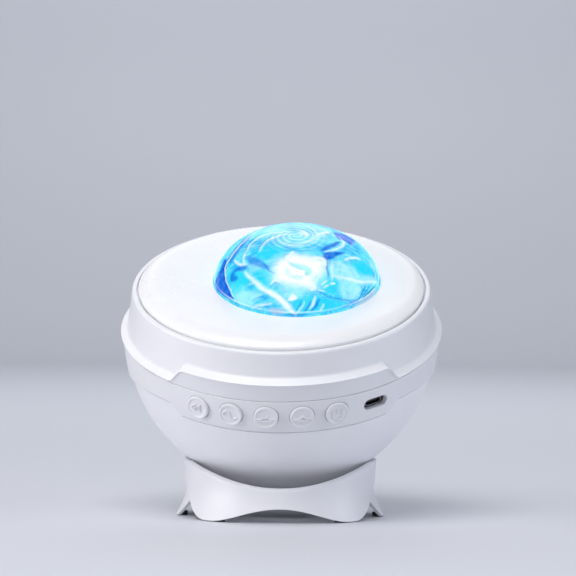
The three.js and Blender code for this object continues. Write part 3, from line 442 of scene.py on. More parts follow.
class Shader:
    """A material's node tree with one principled shader."""

    NODE_STEP = 180

    def __init__(self, name):
        self.material = bpy.data.materials.new(name)
        self.material.use_nodes = True
        self.tree = self.material.node_tree
        self.principled = self.tree.nodes["Principled BSDF"]
        self.place = 0

    def node(self, kind, settings=None, values=None, output=0):
        """Adds a node with its settings and with a value or link for each named or numbered socket."""
        made = self.tree.nodes.new(kind)
        self.place -= self.NODE_STEP
        made.location = (self.place, 0)
        for key, setting in (settings or {}).items():
            setattr(made, key, setting)
        for key, value in (values or {}).items():
            self.feed(made.inputs[key], value)
        return Socket(self, made.outputs[output])

    def feed(self, socket, value):
        if isinstance(value, Socket):
            self.tree.links.new(value.output, socket)
        elif isinstance(value, (int, float)):
            socket.default_value = value
        else:
            socket.default_value = (*value, 1)[:len(socket.default_value)]

    def set(self, **named):
        """Feeds the principled shader's sockets, named with underscores for spaces."""
        for key, value in named.items():
            self.feed(self.principled.inputs[key.replace("_", " ")], value)

    def position(self):
        return self.node("ShaderNodeTexCoord", output="Object")

    def noise(self, scale, detail=2, roughness=0.5, vector=None):
        return self.node("ShaderNodeTexNoise", {"noise_dimensions": "3D"}, {
            "Vector": vector or self.position(), "Scale": scale, "Detail": detail, "Roughness": roughness})

    def stretched(self, vector, factors):
        return self.node("ShaderNodeVectorMath", {"operation": "MULTIPLY"}, {0: vector, 1: factors})

    def mix(self, factor, first, second):
        return self.node("ShaderNodeMix", {"data_type": "RGBA"}, {0: factor, 6: first, 7: second}, output=2)

    def span(self, value, low, high, to_low=0.0, to_high=1.0):
        """The value's smooth climb between two levels, as a number between two others."""
        return self.node("ShaderNodeMapRange", {"interpolation_type": "SMOOTHSTEP"},
                         dict(enumerate((value, low, high, to_low, to_high))))

    def bump(self, height, strength, distance):
        return self.node("ShaderNodeBump", None, {"Height": height, "Strength": strength, "Distance": distance})


def scaled(colour, share):
    return tuple(channel * share for channel in colour)


def moulded_plastic(name, colour, roughness, painted_glow=0.0):
    """Moulded plastic with a faint mould texture, cloudy gloss and uneven colour.

    The painted glow is painted light: an even emission that lifts the shade, as the plastic gives no light of its
    own.
    """
    shader = Shader(name)
    clouds = shader.noise(scale=26, detail=3)
    peel = shader.noise(scale=1500, roughness=0.6)
    grime = shader.span(shader.noise(scale=60, detail=4), 0.35, 0.75)
    # The emission is the painted glow: painted light that lifts shade, not light from the plastic.
    shader.set(
        Base_Color=shader.mix(grime * 0.6, colour, scaled(colour, 0.965)),
        Roughness=roughness - 0.05 + clouds * 0.1 + (peel - 0.5) * 0.05,
        Normal=shader.bump(peel, strength=0.3, distance=0.00003),
        Emission_Color=(0.9, 0.92, 1.0), Emission_Strength=painted_glow, IOR=PLASTIC_IOR)
    return shader.material


def rubber(name, colour):
    """Soft rubber with a fine grain and paler patches."""
    shader = Shader(name)
    grain = shader.noise(scale=2600, detail=3)
    shader.set(Base_Color=shader.mix(shader.noise(scale=90), colour, scaled(colour, 1.6)),
               Roughness=0.75 + grain * 0.15, Normal=shader.bump(grain, strength=0.5, distance=0.00005), IOR=1.5)
    return shader.material


def metal(name, colour, roughness):
    """Brushed metal: fine lines stretched along Z."""
    shader = Shader(name)
    lines = shader.noise(scale=1, vector=shader.stretched(shader.position(), (2600, 2600, 60)))
    shader.set(Base_Color=shader.mix(lines, colour, scaled(colour, 0.86)), Metallic=1.0,
               Roughness=roughness + (lines - 0.5) * 0.14, Normal=shader.bump(lines, strength=0.25, distance=0.00002))
    return shader.material


def circuit_board(name):
    """Green solder mask with copper tracks under it."""
    shader = Shader(name)
    cells = shader.node("ShaderNodeTexVoronoi", {"feature": "DISTANCE_TO_EDGE"},
                        {"Vector": shader.position(), "Scale": 420})
    tracks = shader.span(cells, 0.03, 0.07, 1, 0)
    shader.set(Base_Color=shader.mix(tracks, (0.012, 0.13, 0.06), (0.05, 0.26, 0.12)),
               Roughness=0.35 + shader.noise(scale=300) * 0.1,
               Normal=shader.bump(tracks, strength=0.4, distance=0.00005))
    return shader.material


def clear_plastic(name, tint):
    """Clear plastic with a faint ripple."""
    shader = Shader(name)
    ripple = shader.noise(scale=220)
    shader.set(Base_Color=tint, Roughness=0.04 + ripple * 0.05, Transmission_Weight=0.9, IOR=PLASTIC_IOR,
               Normal=shader.bump(ripple, strength=0.1, distance=0.0001))
    return shader.material


def lit_dome(name, colours):
    """The lit dome: each layer of its drawing in its own light, over a clouded blue."""
    shader = Shader(name)
    plan = shader.node("ShaderNodeUVMap", {"uv_map": "plan"})
    layer = {key: shader.node("ShaderNodeAttribute", {"attribute_name": key}, output="Fac")
             for key in DOME_MARKS if key != "hole"}
    clouds = shader.noise(scale=4.5, detail=4, roughness=0.6, vector=plan)
    fibres = shader.noise(scale=16, detail=3, roughness=0.6, vector=plan)
    streaks = shader.noise(scale=5, detail=3, roughness=0.65, vector=shader.stretched(plan, (1.5, 6, 1)))
    facets, edges = (
        shader.node("ShaderNodeTexVoronoi", {"feature": feature}, {"Vector": plan, "Scale": 8, "Randomness": 1})
        for feature in ("F1", "DISTANCE_TO_EDGE"))
    reach = shader.node("ShaderNodeVectorMath", {"operation": "LENGTH"}, {0: plan}, output="Value")
    lower = shader.span(reach, 0.4, 0.65)
    bright, deep = tuple(colours.dome_bright), tuple(colours.dome_deep)
    colour = shader.mix(shader.span(clouds, 0.38, 0.6), (0.02, 0.45, 0.93), (0.16, 0.76, 0.97))
    for cover, light in (
            (shader.span(streaks, 0.5, 0.68, 0, 0.55), (0.55, 0.93, 0.99)),
            (shader.span(facets, 0.1, 0.5) * lower * 0.5, bright),
            (shader.span(edges, 0.0, 0.04, 0.25, 0) * lower, (0.6, 0.92, 1.0)),
            (layer["cyan"] * shader.span(fibres, 0.2, 0.5, 0.6, 1), bright),
            (layer["pale"] * shader.span(fibres, 0.25, 0.7, 0.5, 1), (0.5, 0.92, 0.98)),
            (layer["deep"] * shader.span(fibres, 0.3, 0.6, 0.8, 1), deep),
            (layer["grey"], (0.5, 0.55, 0.68)),
            (layer["white"] * shader.span(streaks, 0.3, 0.5, 0.75, 1), (1.0, 1.0, 1.0)),
            (layer["line"], (0.0, 0.08, 0.3))):
        colour = shader.mix(cover, colour, light)
    shader.set(Base_Color=shader.mix(0.9, colour, (0.0, 0.02, 0.05)), Emission_Color=colour,
               Emission_Strength=0.95, Roughness=0.12, IOR=1.33, Specular_IOR_Level=0.25,
               Normal=shader.bump(fibres * 0.5 + facets, strength=0.3, distance=0.0006))
    return shader.material


# Mesh making

def smoothstep(value):
    value = min(1.0, max(0.0, value))
    return value * value * (3 - 2 * value)


def front_share(azimuth, flat_angle, ramp_angle):
    """1 within the flat angle at the front, fading to 0 past the ramp."""
    return 1 - smoothstep((abs(azimuth) - flat_angle) / ramp_angle)


def ring_of_azimuths(count, ramps=()):
    """Evenly spaced azimuths, closer together where an outline bends."""
    azimuths = {round(-180 + 360 * i / count, 4) for i in range(count)}
    for start, width in ramps:
        for step in range(RAMP_STEPS + 1):
            azimuths |= {start + width * step / RAMP_STEPS, -(start + width * step / RAMP_STEPS)}
    return sorted(azimuths)


def rounded(points, steps=4):
    """Rounds the corners of a closed outline of (radius, height, round) points."""
    result = []
    for i, (x, z, size) in enumerate(points):
        if not size:
            result.append((x, z))
            continue
        here = Vector((x, z))
        before = Vector(points[i - 1][:2]) - here
        after = Vector(points[(i + 1) % len(points)][:2]) - here
        start = here + before.normalized() * min(size, before.length * CORNER_REACH)
        end = here + after.normalized() * min(size, after.length * CORNER_REACH)
        for step in range(steps + 1):
            t = step / steps
            result.append(tuple(start * (1 - t) ** 2 + here * 2 * t * (1 - t) + end * t ** 2))
    return result


def lattice(rows, size, wraps, capped=True):
    """Faces between rows of points, each a closed loop of the same size."""
    faces = []
    for i in range(rows if wraps else rows - 1):
        here, there = i * size, (i + 1) % rows * size
        for j in range(size):
            k = (j + 1) % size
            faces.append((here + j, there + j, there + k, here + k))
    if capped and not wraps:
        last = (rows - 1) * size
        faces += [tuple(range(size)), tuple(last + j for j in reversed(range(size)))]
    return faces


def sweep(azimuths, outline_at, wraps=True):
    """A closed solid from an outline of (radius, height) points at each azimuth, as vertices and faces."""
    columns = []
    for degrees in azimuths:
        a = math.radians(degrees)
        columns.append([(r * math.sin(a), -r * math.cos(a), z) for r, z in outline_at(degrees)])
    return [point for column in columns for point in column], lattice(len(columns), len(columns[0]), wraps)


def revolve(points, segments, steps=4):
    outline = rounded(points, steps)
    return sweep([360 * i / segments for i in range(segments)], lambda azimuth: outline)


def pin(radius, bottom, top, segments):
    """An upright cylinder."""
    return revolve([(0, bottom, 0), (radius, bottom, 0), (radius, top, 0), (0, top, 0)], segments)


def box_part(low, high):
    (x0, y0, z0), (x1, y1, z1) = low, high
    vertices = [(x, y, z) for z in (z0, z1) for y in (y0, y1) for x in (x0, x1)]
    return vertices, [(0, 2, 3, 1), (4, 5, 7, 6), (0, 1, 5, 4), (2, 6, 7, 3), (1, 3, 7, 5), (0, 4, 6, 2)]


def arc_line(centre, radii, start, end, steps):
    """Points along part of an ellipse, from one angle to another."""
    angles = (math.radians(start + (end - start) * i / steps) for i in range(steps + 1))
    return [(centre[0] + radii[0] * math.cos(a), centre[1] + radii[1] * math.sin(a)) for a in angles]


def stadium(width, height, bottom, top, spread=0.0):
    """An upright bar with rounded ends, as vertices and faces, that may widen towards its top."""
    half, radius = (width - height) / 2, height / 2
    loops = [[*arc_line((half, 0), (r, r), -90, 90, 10), *arc_line((-half, 0), (r, r), 90, 270, 10)]
             for r in (radius, radius + spread)]
    count = len(loops[0])
    vertices = [(x, y, z) for loop, z in zip(loops, (bottom, top)) for x, y in loop]
    faces = [(i, (i + 1) % count, count + (i + 1) % count, count + i) for i in range(count)]
    faces += [tuple(reversed(range(count))), tuple(range(count, 2 * count))]
    return vertices, faces


def joined(*parts):
    vertices, faces = [], []
    for part_vertices, part_faces in parts:
        start = len(vertices)
        vertices += part_vertices
        faces += [tuple(start + i for i in face) for face in part_faces]
    return vertices, faces


def moved(part, matrix):
    return [tuple(matrix @ Vector(v)) for v in part[0]], part[1]


def smooth(mesh, angle=SMOOTH_ANGLE):
    mesh.polygons.foreach_set("use_smooth", [True] * len(mesh.polygons))
    mesh.set_sharp_from_angle(angle=math.radians(angle))


def cleaned(mesh, matrix, angle):
    """The mesh welded, put in its place, with its faces turned outwards and its soft bends smooth."""
    solid = bmesh.new()
    solid.from_mesh(mesh)
    bmesh.ops.remove_doubles(solid, verts=solid.verts, dist=WELD)
    bmesh.ops.dissolve_degenerate(solid, edges=solid.edges, dist=WELD)
    bmesh.ops.recalc_face_normals(solid, faces=solid.faces)
    solid.transform(matrix)
    solid.to_mesh(mesh)
    solid.free()
    smooth(mesh, angle)
    return mesh


def as_mesh(part, matrix=Matrix(), angle=SMOOTH_ANGLE):
    mesh = bpy.data.meshes.new("part")
    mesh.from_pydata(part[0], [], part[1])
    return cleaned(mesh, matrix, angle)


def add(name, data):
    """A new object in the scene."""
    thing = bpy.data.objects.new(name, data)
    bpy.context.scene.collection.objects.link(thing)
    return thing


def place(name, mesh, material, body, node=None):
    """Puts a piece in the scene, on its body, with its finish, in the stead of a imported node."""
    mesh.name = name
    piece = add(name, mesh)
    mesh.materials.clear()
    mesh.materials.append(material)
    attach(piece, body)
    if node:
        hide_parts(node)


def cut_away(mesh, cutters):
    """The mesh with the cutters' volumes taken out of it."""
    piece = add("cutting", mesh)
    tools = [add("cutter", cutter) for cutter in cutters]
    for tool in tools:
        cutting = piece.modifiers.new("cut", "BOOLEAN")
        cutting.operation = "DIFFERENCE"
        cutting.solver = "EXACT"
        cutting.object = tool
    graph = bpy.context.evaluated_depsgraph_get()
    result = bpy.data.meshes.new_from_object(piece.evaluated_get(graph))
    for thing in [piece, *tools]:
        bpy.data.objects.remove(thing)
    smooth(result)
    return result


# The dome's drawing

def curved(points, closed, steps=4):
    """More points along a smooth curve through the given ones."""
    count = len(points)
    result = []
    for i in range(count if closed else count - 1):
        a, b, c, d = (points[k % count] if closed else points[min(max(k, 0), count - 1)]
                      for k in (i - 1, i, i + 1, i + 2))
        for step in range(steps):
            t = step / steps
            result.append(tuple(
                0.5 * (2 * b[j] + (c[j] - a[j]) * t + (2 * a[j] - 5 * b[j] + 4 * c[j] - d[j]) * t ** 2
                       + (3 * b[j] - a[j] - 3 * c[j] + d[j]) * t ** 3) for j in (0, 1)))
    return result if closed else [*result, points[-1]]


def mark_cover(points, width, soft, x, y):
    """How strongly a stroke, or a patch where the width is 0, covers each place of the plan."""
    closed = not width
    line = curved(points, closed)
    nearest = np.full(x.shape, np.inf)
    inside = np.zeros(x.shape, bool)
    for i, ((x0, y0), (x1, y1)) in enumerate(zip(line, line[1:] + line[:1] if closed else line[1:])):
        dx, dy = x1 - x0, y1 - y0
        along = np.clip(((x - x0) * dx + (y - y0) * dy) / max(dx * dx + dy * dy, 1e-9), 0, 1)
        through = np.clip((i + along) / (len(line) - 1), 0, 1)
        half = width / 2 * np.sin(np.pi * through) ** STROKE_TAPER
        nearest = np.minimum(nearest, np.hypot(x - x0 - along * dx, y - y0 - along * dy) - half)
        if closed and dy:
            inside ^= ((y0 > y) != (y1 > y)) & (x < x0 + dx * (y - y0) / dy)
    cover = np.clip(0.5 - np.where(inside, -nearest, nearest) / soft, 0, 1)
    return cover * cover * (3 - 2 * cover)


def together(first, second):
    """How strongly two marks cover a place between them."""
    return 1 - (1 - first) * (1 - second)


def dome_drawing(x, y):
    """The strength of each layer of the dome's drawing at each place of the plan."""
    # The lines waver as hand-cut ones do.
    wavy_x = x + WAVER * np.sin(31 * y + 9 * x) + FINE_WAVER * np.sin(67 * y)
    wavy_y = y + WAVER * np.sin(29 * x - 7 * y) + FINE_WAVER * np.sin(71 * x)
    layers = {}
    for layer, marks in DOME_MARKS.items():
        layers[layer] = np.zeros(x.shape)
        for width, soft, strength, points in marks:
            width, soft = width / 1000, soft / 1000
            if width:
                width, soft = width * (LINE_SHARE if layer == "line" else STROKE_SHARE), soft * SOFT_SHARE
            cover = mark_cover([(px / 100, py / 100) for px, py in points], width, soft, wavy_x, wavy_y)
            layers[layer] = together(layers[layer], strength / 100 * cover)
    reach, angle = np.hypot(x, y), np.arctan2(y, x)
    from_x, from_y = x - RING_CENTRE[0], y - RING_CENTRE[1]
    swirl, turn = np.hypot(from_x, from_y), np.arctan2(from_y, from_x)
    rings = np.cos(2 * np.pi * swirl / RING_PITCH - RING_ARMS * turn + RING_SWAY * np.sin(turn))
    rings *= np.clip((RING_REACH - swirl) / RING_FADE, 0, 1)
    lit = layers["white"] * (1 - layers.pop("hole"))
    layers["white"] = together(lit, RING_SHINE * np.clip(rings, 0, 1) ** 2)
    layers["line"] = together(layers["line"], RING_SHADE * np.clip(-rings, 0, 1))
    for layer, place_at, width, strength in RIM_RINGS:
        ring = np.clip(1 - np.abs(reach - place_at) / width, 0, 1) * strength * (0.7 + 0.3 * np.sin(7 * angle))
        layers[layer] = together(layers[layer], ring)
    return layers


def dome_lift(x, y, share, layers):
    """How far the surface stands out, as a share of the relief: ridges, and crystals lower down."""
    cells = np.array([noise.voronoi(Vector((CRYSTAL_SCALE * a, CRYSTAL_SCALE * b, 0)))[0][0]
                      for a, b in zip(x.ravel(), y.ravel())])
    crystals = (CRYSTAL_MIDDLE - cells.reshape(x.shape)) * np.clip((share - CRYSTAL_START) / CRYSTAL_FADE, 0, 1)
    ridges = sum(weight * layers[layer] for layer, weight in RELIEF_SHARES.items())
    border = np.clip((BORDER_PLACE - share) / BORDER_FADE, 0, 1)
    return (ridges + CRYSTAL_RISE * crystals - RELIEF_MIDDLE) * border


# Shapes that several pieces share

def outward(azimuth, height):
    """A frame whose Z points out of the head at an azimuth and whose Y points up."""
    turned = Matrix.Rotation(math.radians(azimuth), 4, "Z") @ Matrix.Rotation(math.radians(90), 4, "X")
    return HEAD @ Matrix.Translation((0, 0, height)) @ turned


def band_edge(azimuth):
    """The band's lower edge: low along the panel, up beside it, and falling away round the sides."""
    beside = PANEL_ANGLE + PANEL_RAMP
    fall = smoothstep((abs(azimuth) - beside) / (SIDE_ANGLE - beside))
    share = front_share(azimuth, PANEL_ANGLE, PANEL_RAMP)
    return BAND_BOTTOM + (PANEL_BOTTOM - BAND_BOTTOM) * share - BAND_SIDE_DROP * fall


def band_radius(height):
    """The band's outer radius: straight above its plain edge, and straight again down the panel."""
    edge = math.sqrt(BOWL_RADIUS ** 2 - BAND_BOTTOM ** 2) + BAND_PROUD
    if height >= BAND_BOTTOM:
        return edge + (BAND_TOP_RADIUS - edge) * (height - BAND_BOTTOM) / (SEAM_HEIGHT - BAND_BOTTOM)
    low = math.sqrt(BOWL_RADIUS ** 2 - PANEL_BOTTOM ** 2) + BAND_PROUD
    return edge + (low - edge) * (height - BAND_BOTTOM) / (PANEL_BOTTOM - BAND_BOTTOM)


def skirt_radius(height):
    """The stand's outer radius: flared at the foot, narrowest at the waist, opening a little at the mouth."""
    if height < WAIST_HEIGHT:
        share = (WAIST_HEIGHT - height) / WAIST_HEIGHT
        return WAIST_RADIUS + (FOOT_RADIUS - WAIST_RADIUS) * share ** FOOT_CURVE
    share = (height - WAIST_HEIGHT) / (SIDE_RIM - WAIST_HEIGHT)
    return WAIST_RADIUS + (MOUTH_RADIUS - WAIST_RADIUS) * share ** MOUTH_CURVE


def leg_radius(height):
    """A side leg's outer radius: just inside the panels, flaring at its foot."""
    return skirt_radius(height) - LEG_INSET + LEG_FLARE * max(0, 1 - height / WAIST_HEIGHT) ** 2


def panel_edge(azimuth):
    """The lower edge of the stand's panels: an arch in the middle, lobes beside it, rising to the sides."""
    turned = abs(azimuth) % 180
    angle = min(turned, 180 - turned)
    if angle < ARCH_ANGLE:
        return PAD_RISE + ARCH_HEIGHT * (1 - (angle / ARCH_ANGLE) ** 2) ** 2
    return PAD_RISE + PANEL_EDGE_RISE * smoothstep((angle - LOBE_ANGLE) / (SIDE_ANGLE - LOBE_ANGLE))


def stand_rim(azimuth):
    return FRONT_RIM + (SIDE_RIM - FRONT_RIM) * math.sin(math.radians(azimuth)) ** 2


# Operators

class PROJECTOR_OT_stage(bpy.types.Operator):
    """Pale floor and backdrop, soft studio lamps and the camera."""
    bl_idname = "projector.stage"
    bl_label = "Stage"

    def execute(self, context):
        self.floor(tuple(context.scene.projector_colours.floor))
        for name, settings in LAMPS.items():
            self.lamp(name, *settings)
        world = bpy.data.worlds.new("studio")
        context.scene.world = world
        world.use_nodes = True
        studio = world.node_tree.nodes["Background"]
        studio.inputs["Color"].default_value = WORLD_COLOUR
        studio.inputs["Strength"].default_value = WORLD_STRENGTH
        context.scene.camera = self.camera()
        context.scene.view_settings.view_transform = "Standard"
        return {"FINISHED"}

    def floor(self, colour):
        """A floor that bends up into a backdrop."""
        bends = (math.radians(90 * i / BEND_STEPS) for i in range(BEND_STEPS + 1))
        flat_end = BACKDROP_PLACE - BACKDROP_BEND
        profile = [(FLOOR_FRONT, 0.0), *(
            (flat_end + BACKDROP_BEND * math.sin(a), BACKDROP_BEND - BACKDROP_BEND * math.cos(a))
            for a in bends), (BACKDROP_PLACE, BACKDROP_TOP)]
        vertices = [(x, y, z) for y, z in profile for x in (-FLOOR_HALF_WIDTH, FLOOR_HALF_WIDTH)]
        faces = [(2 * i, 2 * i + 1, 2 * i + 3, 2 * i + 2) for i in range(len(profile) - 1)]
        mesh = bpy.data.meshes.new("floor")
        mesh.from_pydata(vertices, [], faces)
        smooth(mesh)
        shader = Shader("pale_floor")
        shader.set(Base_Color=colour, Roughness=0.5, IOR=1.4)
        mesh.materials.append(shader.material)
        add("floor", mesh)

    def lamp(self, name, place_at, size, power, colour, aim_at=AT_PROJECTOR):
        data = bpy.data.lights.new(name, "AREA")
        data.size = size
        data.energy = power
        data.color = colour
        lamp = add(name, data)
        lamp.location = place_at
        aim = Vector(aim_at) - Vector(place_at)
        lamp.rotation_euler = aim.to_track_quat("-Z", "Y").to_euler()

    def camera(self):
        data = bpy.data.cameras.new("camera")
        data.lens = CAMERA_LENS
        data.sensor_width = CAMERA_SENSOR
        forward = Vector((0, math.cos(CAMERA_PITCH), -math.sin(CAMERA_PITCH)))
        up = Vector((0, math.sin(CAMERA_PITCH), math.cos(CAMERA_PITCH)))
        right = Vector((1, 0, 0))
        eye = Vector(AT_PROJECTOR) + right * CAMERA_SIDE + up * CAMERA_RISE - forward * CAMERA_DISTANCE
        axes = Matrix((right, up, -forward)).transposed().to_4x4()
        camera = add("camera", data)
        camera.matrix_world = Matrix.Translation(eye) @ axes @ Matrix.Rotation(CAMERA_ROLL, 4, "Z")
        return camera


class PROJECTOR_OT_bowl(bpy.types.Operator):
    """The lower bowl, with its sound holes, and the control band round it."""
    bl_idname = "projector.bowl"
    bl_label = "Bowl and control band"

    def execute(self, context):
        colour = tuple(context.scene.projector_colours.shell)
        edge = context.scene.projector_sizes.edge_round
        plastic = moulded_plastic("shell_plastic", colour, roughness=0.34)
        # The bowl's painted glow is painted light that lifts the shade on its underside above the stand.
        lower = moulded_plastic("bowl_plastic_painted_glow", colour, roughness=0.34, painted_glow=0.045)
        azimuths = ring_of_azimuths(HEAD_SEGMENTS, [(PANEL_ANGLE, PANEL_RAMP)])

        def band_outline(azimuth):
            bottom = band_edge(azimuth)
            top = SEAM_HEIGHT - SEAM_LINE
            middle = max(BAND_BOTTOM, bottom + 2 * GAP)
            return rounded([
                (BAND_INNER_RADIUS, bottom, 0), (band_radius(bottom), bottom, edge * FINE_EDGE),
                (band_radius(middle), middle, 0), (BAND_TOP_RADIUS, top, edge * SEAM_EDGE),
                (BAND_INNER_RADIUS, top, 0)])

        bowl = as_mesh(sweep(azimuths, self.bowl_outline), HEAD)
        hole = pin(SOUND_HOLE_RADIUS, *SOUND_HOLE_SPAN, SOUND_HOLE_SEGMENTS)
        holes = [as_mesh(hole, HEAD @ Matrix.Translation(at)) for at in self.sound_places()]
        place("lower_bowl_shell", cut_away(bowl, holes), lower, "head", "lower_bowl")

        band = as_mesh(sweep(azimuths, band_outline), HEAD)
        deep, proud = BAND_INNER_RADIUS - CUT_MARGIN, BAND_TOP_RADIUS + CUT_MARGIN
        hole = pin(BUTTON_RADIUS + HOLE_GAP, deep, proud, PIN_SEGMENTS)
        cutters = [as_mesh(hole, outward(azimuth, BUTTON_HEIGHT)) for azimuth in BUTTON_AZIMUTHS]
        inlet = outward(INLET_AZIMUTH, INLET_HEIGHT)
        mouth = band_radius(INLET_HEIGHT)
        slot = stadium(INLET_WIDTH, INLET_SLOT, deep, proud)
        flare = stadium(INLET_WIDTH, INLET_SLOT, mouth - FLARE_DEPTH, mouth + FLARE_DEPTH, FLARE_SPREAD)
        cutters += [as_mesh(slot, inlet), as_mesh(flare, inlet)]
        place("control_band_shell", cut_away(band, cutters), plastic, "head", "control_band")
        return {"FINISHED"}

    def bowl_outline(self, azimuth):
        """A thin bowl with a tongue that stands up inside the band."""
        def arc(radius, height, count):
            limit = math.acos(-height / radius)
            return [(radius * math.sin(limit * i / count), -radius * math.cos(limit * i / count), 0)
                    for i in range(count + 1)]

        top = band_edge(azimuth) - BAND_GAP
        outer = arc(BOWL_RADIUS, top, BOWL_ROWS)
        inner = arc(BOWL_RADIUS - BOWL_WALL, top - TONGUE_WALL, BOWL_INNER_ROWS)[::-1]
        radius = BAND_INNER_RADIUS - RUNNING_GAP
        rise = TONGUE_HEIGHT + (PANEL_TONGUE_HEIGHT - TONGUE_HEIGHT) * front_share(azimuth, PANEL_ANGLE, PANEL_RAMP)
        return rounded([*outer, (radius, top, 0), (radius, top + rise, 0),
                        (radius - TONGUE_WALL, top + rise, 0), *inner])

    def sound_places(self):
        """The sound holes' places, on rings round the bowl's lowest point."""
        for radius, count in SOUND_RINGS:
            for i in range(count):
                a = 2 * math.pi * i / count
                yield radius * math.sin(a), -radius * math.cos(a), 0


class PROJECTOR_OT_shell(bpy.types.Operator):
    """The upper shell with its raised front lip, and the top cover with the dome's hole."""
    bl_idname = "projector.shell"
    bl_label = "Upper shell and cover"

    def execute(self, context):
        colours = context.scene.projector_colours
        edge = context.scene.projector_sizes.edge_round
        plastic = moulded_plastic("upper_plastic", tuple(colours.shell), roughness=0.3)
        gloss = moulded_plastic("cover_plastic", tuple(colours.cover), roughness=0.26)
        azimuths = ring_of_azimuths(HEAD_SEGMENTS, [(LIP_ANGLE, LIP_RAMP)])

        def shell_outline(azimuth):
            lip = LIP_HEIGHT + LIP_RAISE * smoothstep(front_share(azimuth, LIP_ANGLE, LIP_RAMP))
            band_top = lip + LIP_BAND
            foot = LIP_HEIGHT + LIP_BAND
            wall = SHELL_FOOT + (SHELL_TOP - SHELL_FOOT) * (band_top - foot) / (RIM_SHOULDER - foot)
            inner = BAND_INNER_RADIUS - RUNNING_GAP
            low = SEAM_HEIGHT - 2 * RUNNING_GAP
            rim_inner = COVER_RADIUS + RIM_GROOVE
            under = LEDGE_HEIGHT - LEDGE_THICKNESS
            return rounded([
                (inner, low, 0), (inner, SEAM_HEIGHT, 0),
                (BAND_TOP_RADIUS - FOOT_STEP, SEAM_HEIGHT, edge * FINE_EDGE),
                (BAND_TOP_RADIUS, lip - LIP_DROP, edge * FINE_EDGE), (LIP_RADIUS, lip, edge * LIP_EDGE),
                (wall, band_top, edge * LIP_TOP_EDGE), (SHELL_TOP, RIM_HEIGHT, RIM_ROUND),
                (rim_inner, RIM_HEIGHT, edge * RIM_INNER_EDGE), (rim_inner, LEDGE_HEIGHT, 0),
                (LEDGE_RADIUS, LEDGE_HEIGHT, 0), (LEDGE_RADIUS, under, 0),
                (SHELL_TOP - SHELL_WALL, under, 0), (inner - TONGUE_WALL, low, 0)], steps=6)

        shell = as_mesh(sweep(azimuths, shell_outline), HEAD)
        place("upper_shell_moulding", shell, plastic, "head", "upper_shell")

        crown, under, rim = COVER_CROWN, COVER_CROWN - COVER_THICKNESS, COVER_RADIUS - COVER_THICKNESS
        roll = [(COVER_RADIUS - COVER_ROLL * share,
                 COVER_EDGE + (crown - COVER_EDGE) * (1 - (1 - share) ** ROLL_BEND) ** ROLL_RISE, 0)
                for share in ROLL_SHARES]
        disc = revolve([
            (0, under, 0), (rim - COVER_UNDERCUT, under, 0), (rim, COVER_EDGE - GAP, 0), (rim, LEDGE_HEIGHT + GAP, 0),
            (COVER_RADIUS, LEDGE_HEIGHT + GAP, 0), *roll, (0, crown, 0)], COVER_SEGMENTS)
        reach = DOME_RADIUS + GAP
        hole = revolve([
            (0, under - CUT_MARGIN, 0), (reach, under - CUT_MARGIN, 0), (reach, crown - CHAMFER_BELOW, 0),
            (reach + DOME_CHAMFER, crown + CHAMFER_ABOVE, 0), (reach + DOME_CHAMFER, crown + CUT_MARGIN, 0),
            (0, crown + CUT_MARGIN, 0)], DOME_HOLE_SEGMENTS)
        cutter = as_mesh(hole, DOME_AT)
        cover = cut_away(as_mesh(disc, HEAD), [cutter])
        place("top_cover_disc", cover, gloss, "head", "top_cover")
        return {"FINISHED"}


class PROJECTOR_OT_dome(bpy.types.Operator):
    """The lit dome with curling ridges round its top and crystal facets lower down."""
    bl_idname = "projector.dome"
    bl_label = "Dome"

    def execute(self, context):
        turns = 2 * np.pi * np.arange(DOME_COLUMNS) / DOME_COLUMNS
        share, a = np.meshgrid(np.arange(DOME_ROWS + 1) / DOME_ROWS, turns, indexing="ij")
        x, y = share * np.cos(a), share * np.sin(a)
        layers = dome_drawing(x, y)
        lift = context.scene.projector_sizes.relief * dome_lift(x, y, share, layers)
        reach = (DOME_RADIUS + lift) * np.sin(np.pi / 2 * share)
        height = DOME_SPRING + (DOME_TOP - DOME_SPRING + lift) * np.cos(np.pi / 2 * share)
        points = np.stack([reach * np.cos(a), reach * np.sin(a), height], -1).reshape(-1, 3)
        skirt = points[-DOME_COLUMNS:].copy()
        skirt[:, 2] = DOME_SPRING - DOME_SKIRT
        mesh = bpy.data.meshes.new("dome_glass")
        mesh.from_pydata([tuple(point) for point in np.concatenate([points, skirt])], [],
                         lattice(DOME_ROWS + 2, DOME_COLUMNS, wraps=False, capped=False))
        plan = np.concatenate([np.stack([x, y], -1).reshape(-1, 2), np.stack([x[-1], y[-1]], -1)])
        corners = np.empty(len(mesh.loops), int)
        mesh.loops.foreach_get("vertex_index", corners)
        mesh.uv_layers.new(name="plan").data.foreach_set("uv", plan[corners].ravel())
        for name, strength in layers.items():
            values = np.concatenate([strength.ravel(), strength[-1]])
            mesh.attributes.new(name, "FLOAT", "POINT").data.foreach_set("value", values)
        cleaned(mesh, DOME_AT, angle=60)
        material = lit_dome("lit_dome", context.scene.projector_colours)
        place("dome_glass", mesh, material, "head", "dome_lens")
        return {"FINISHED"}


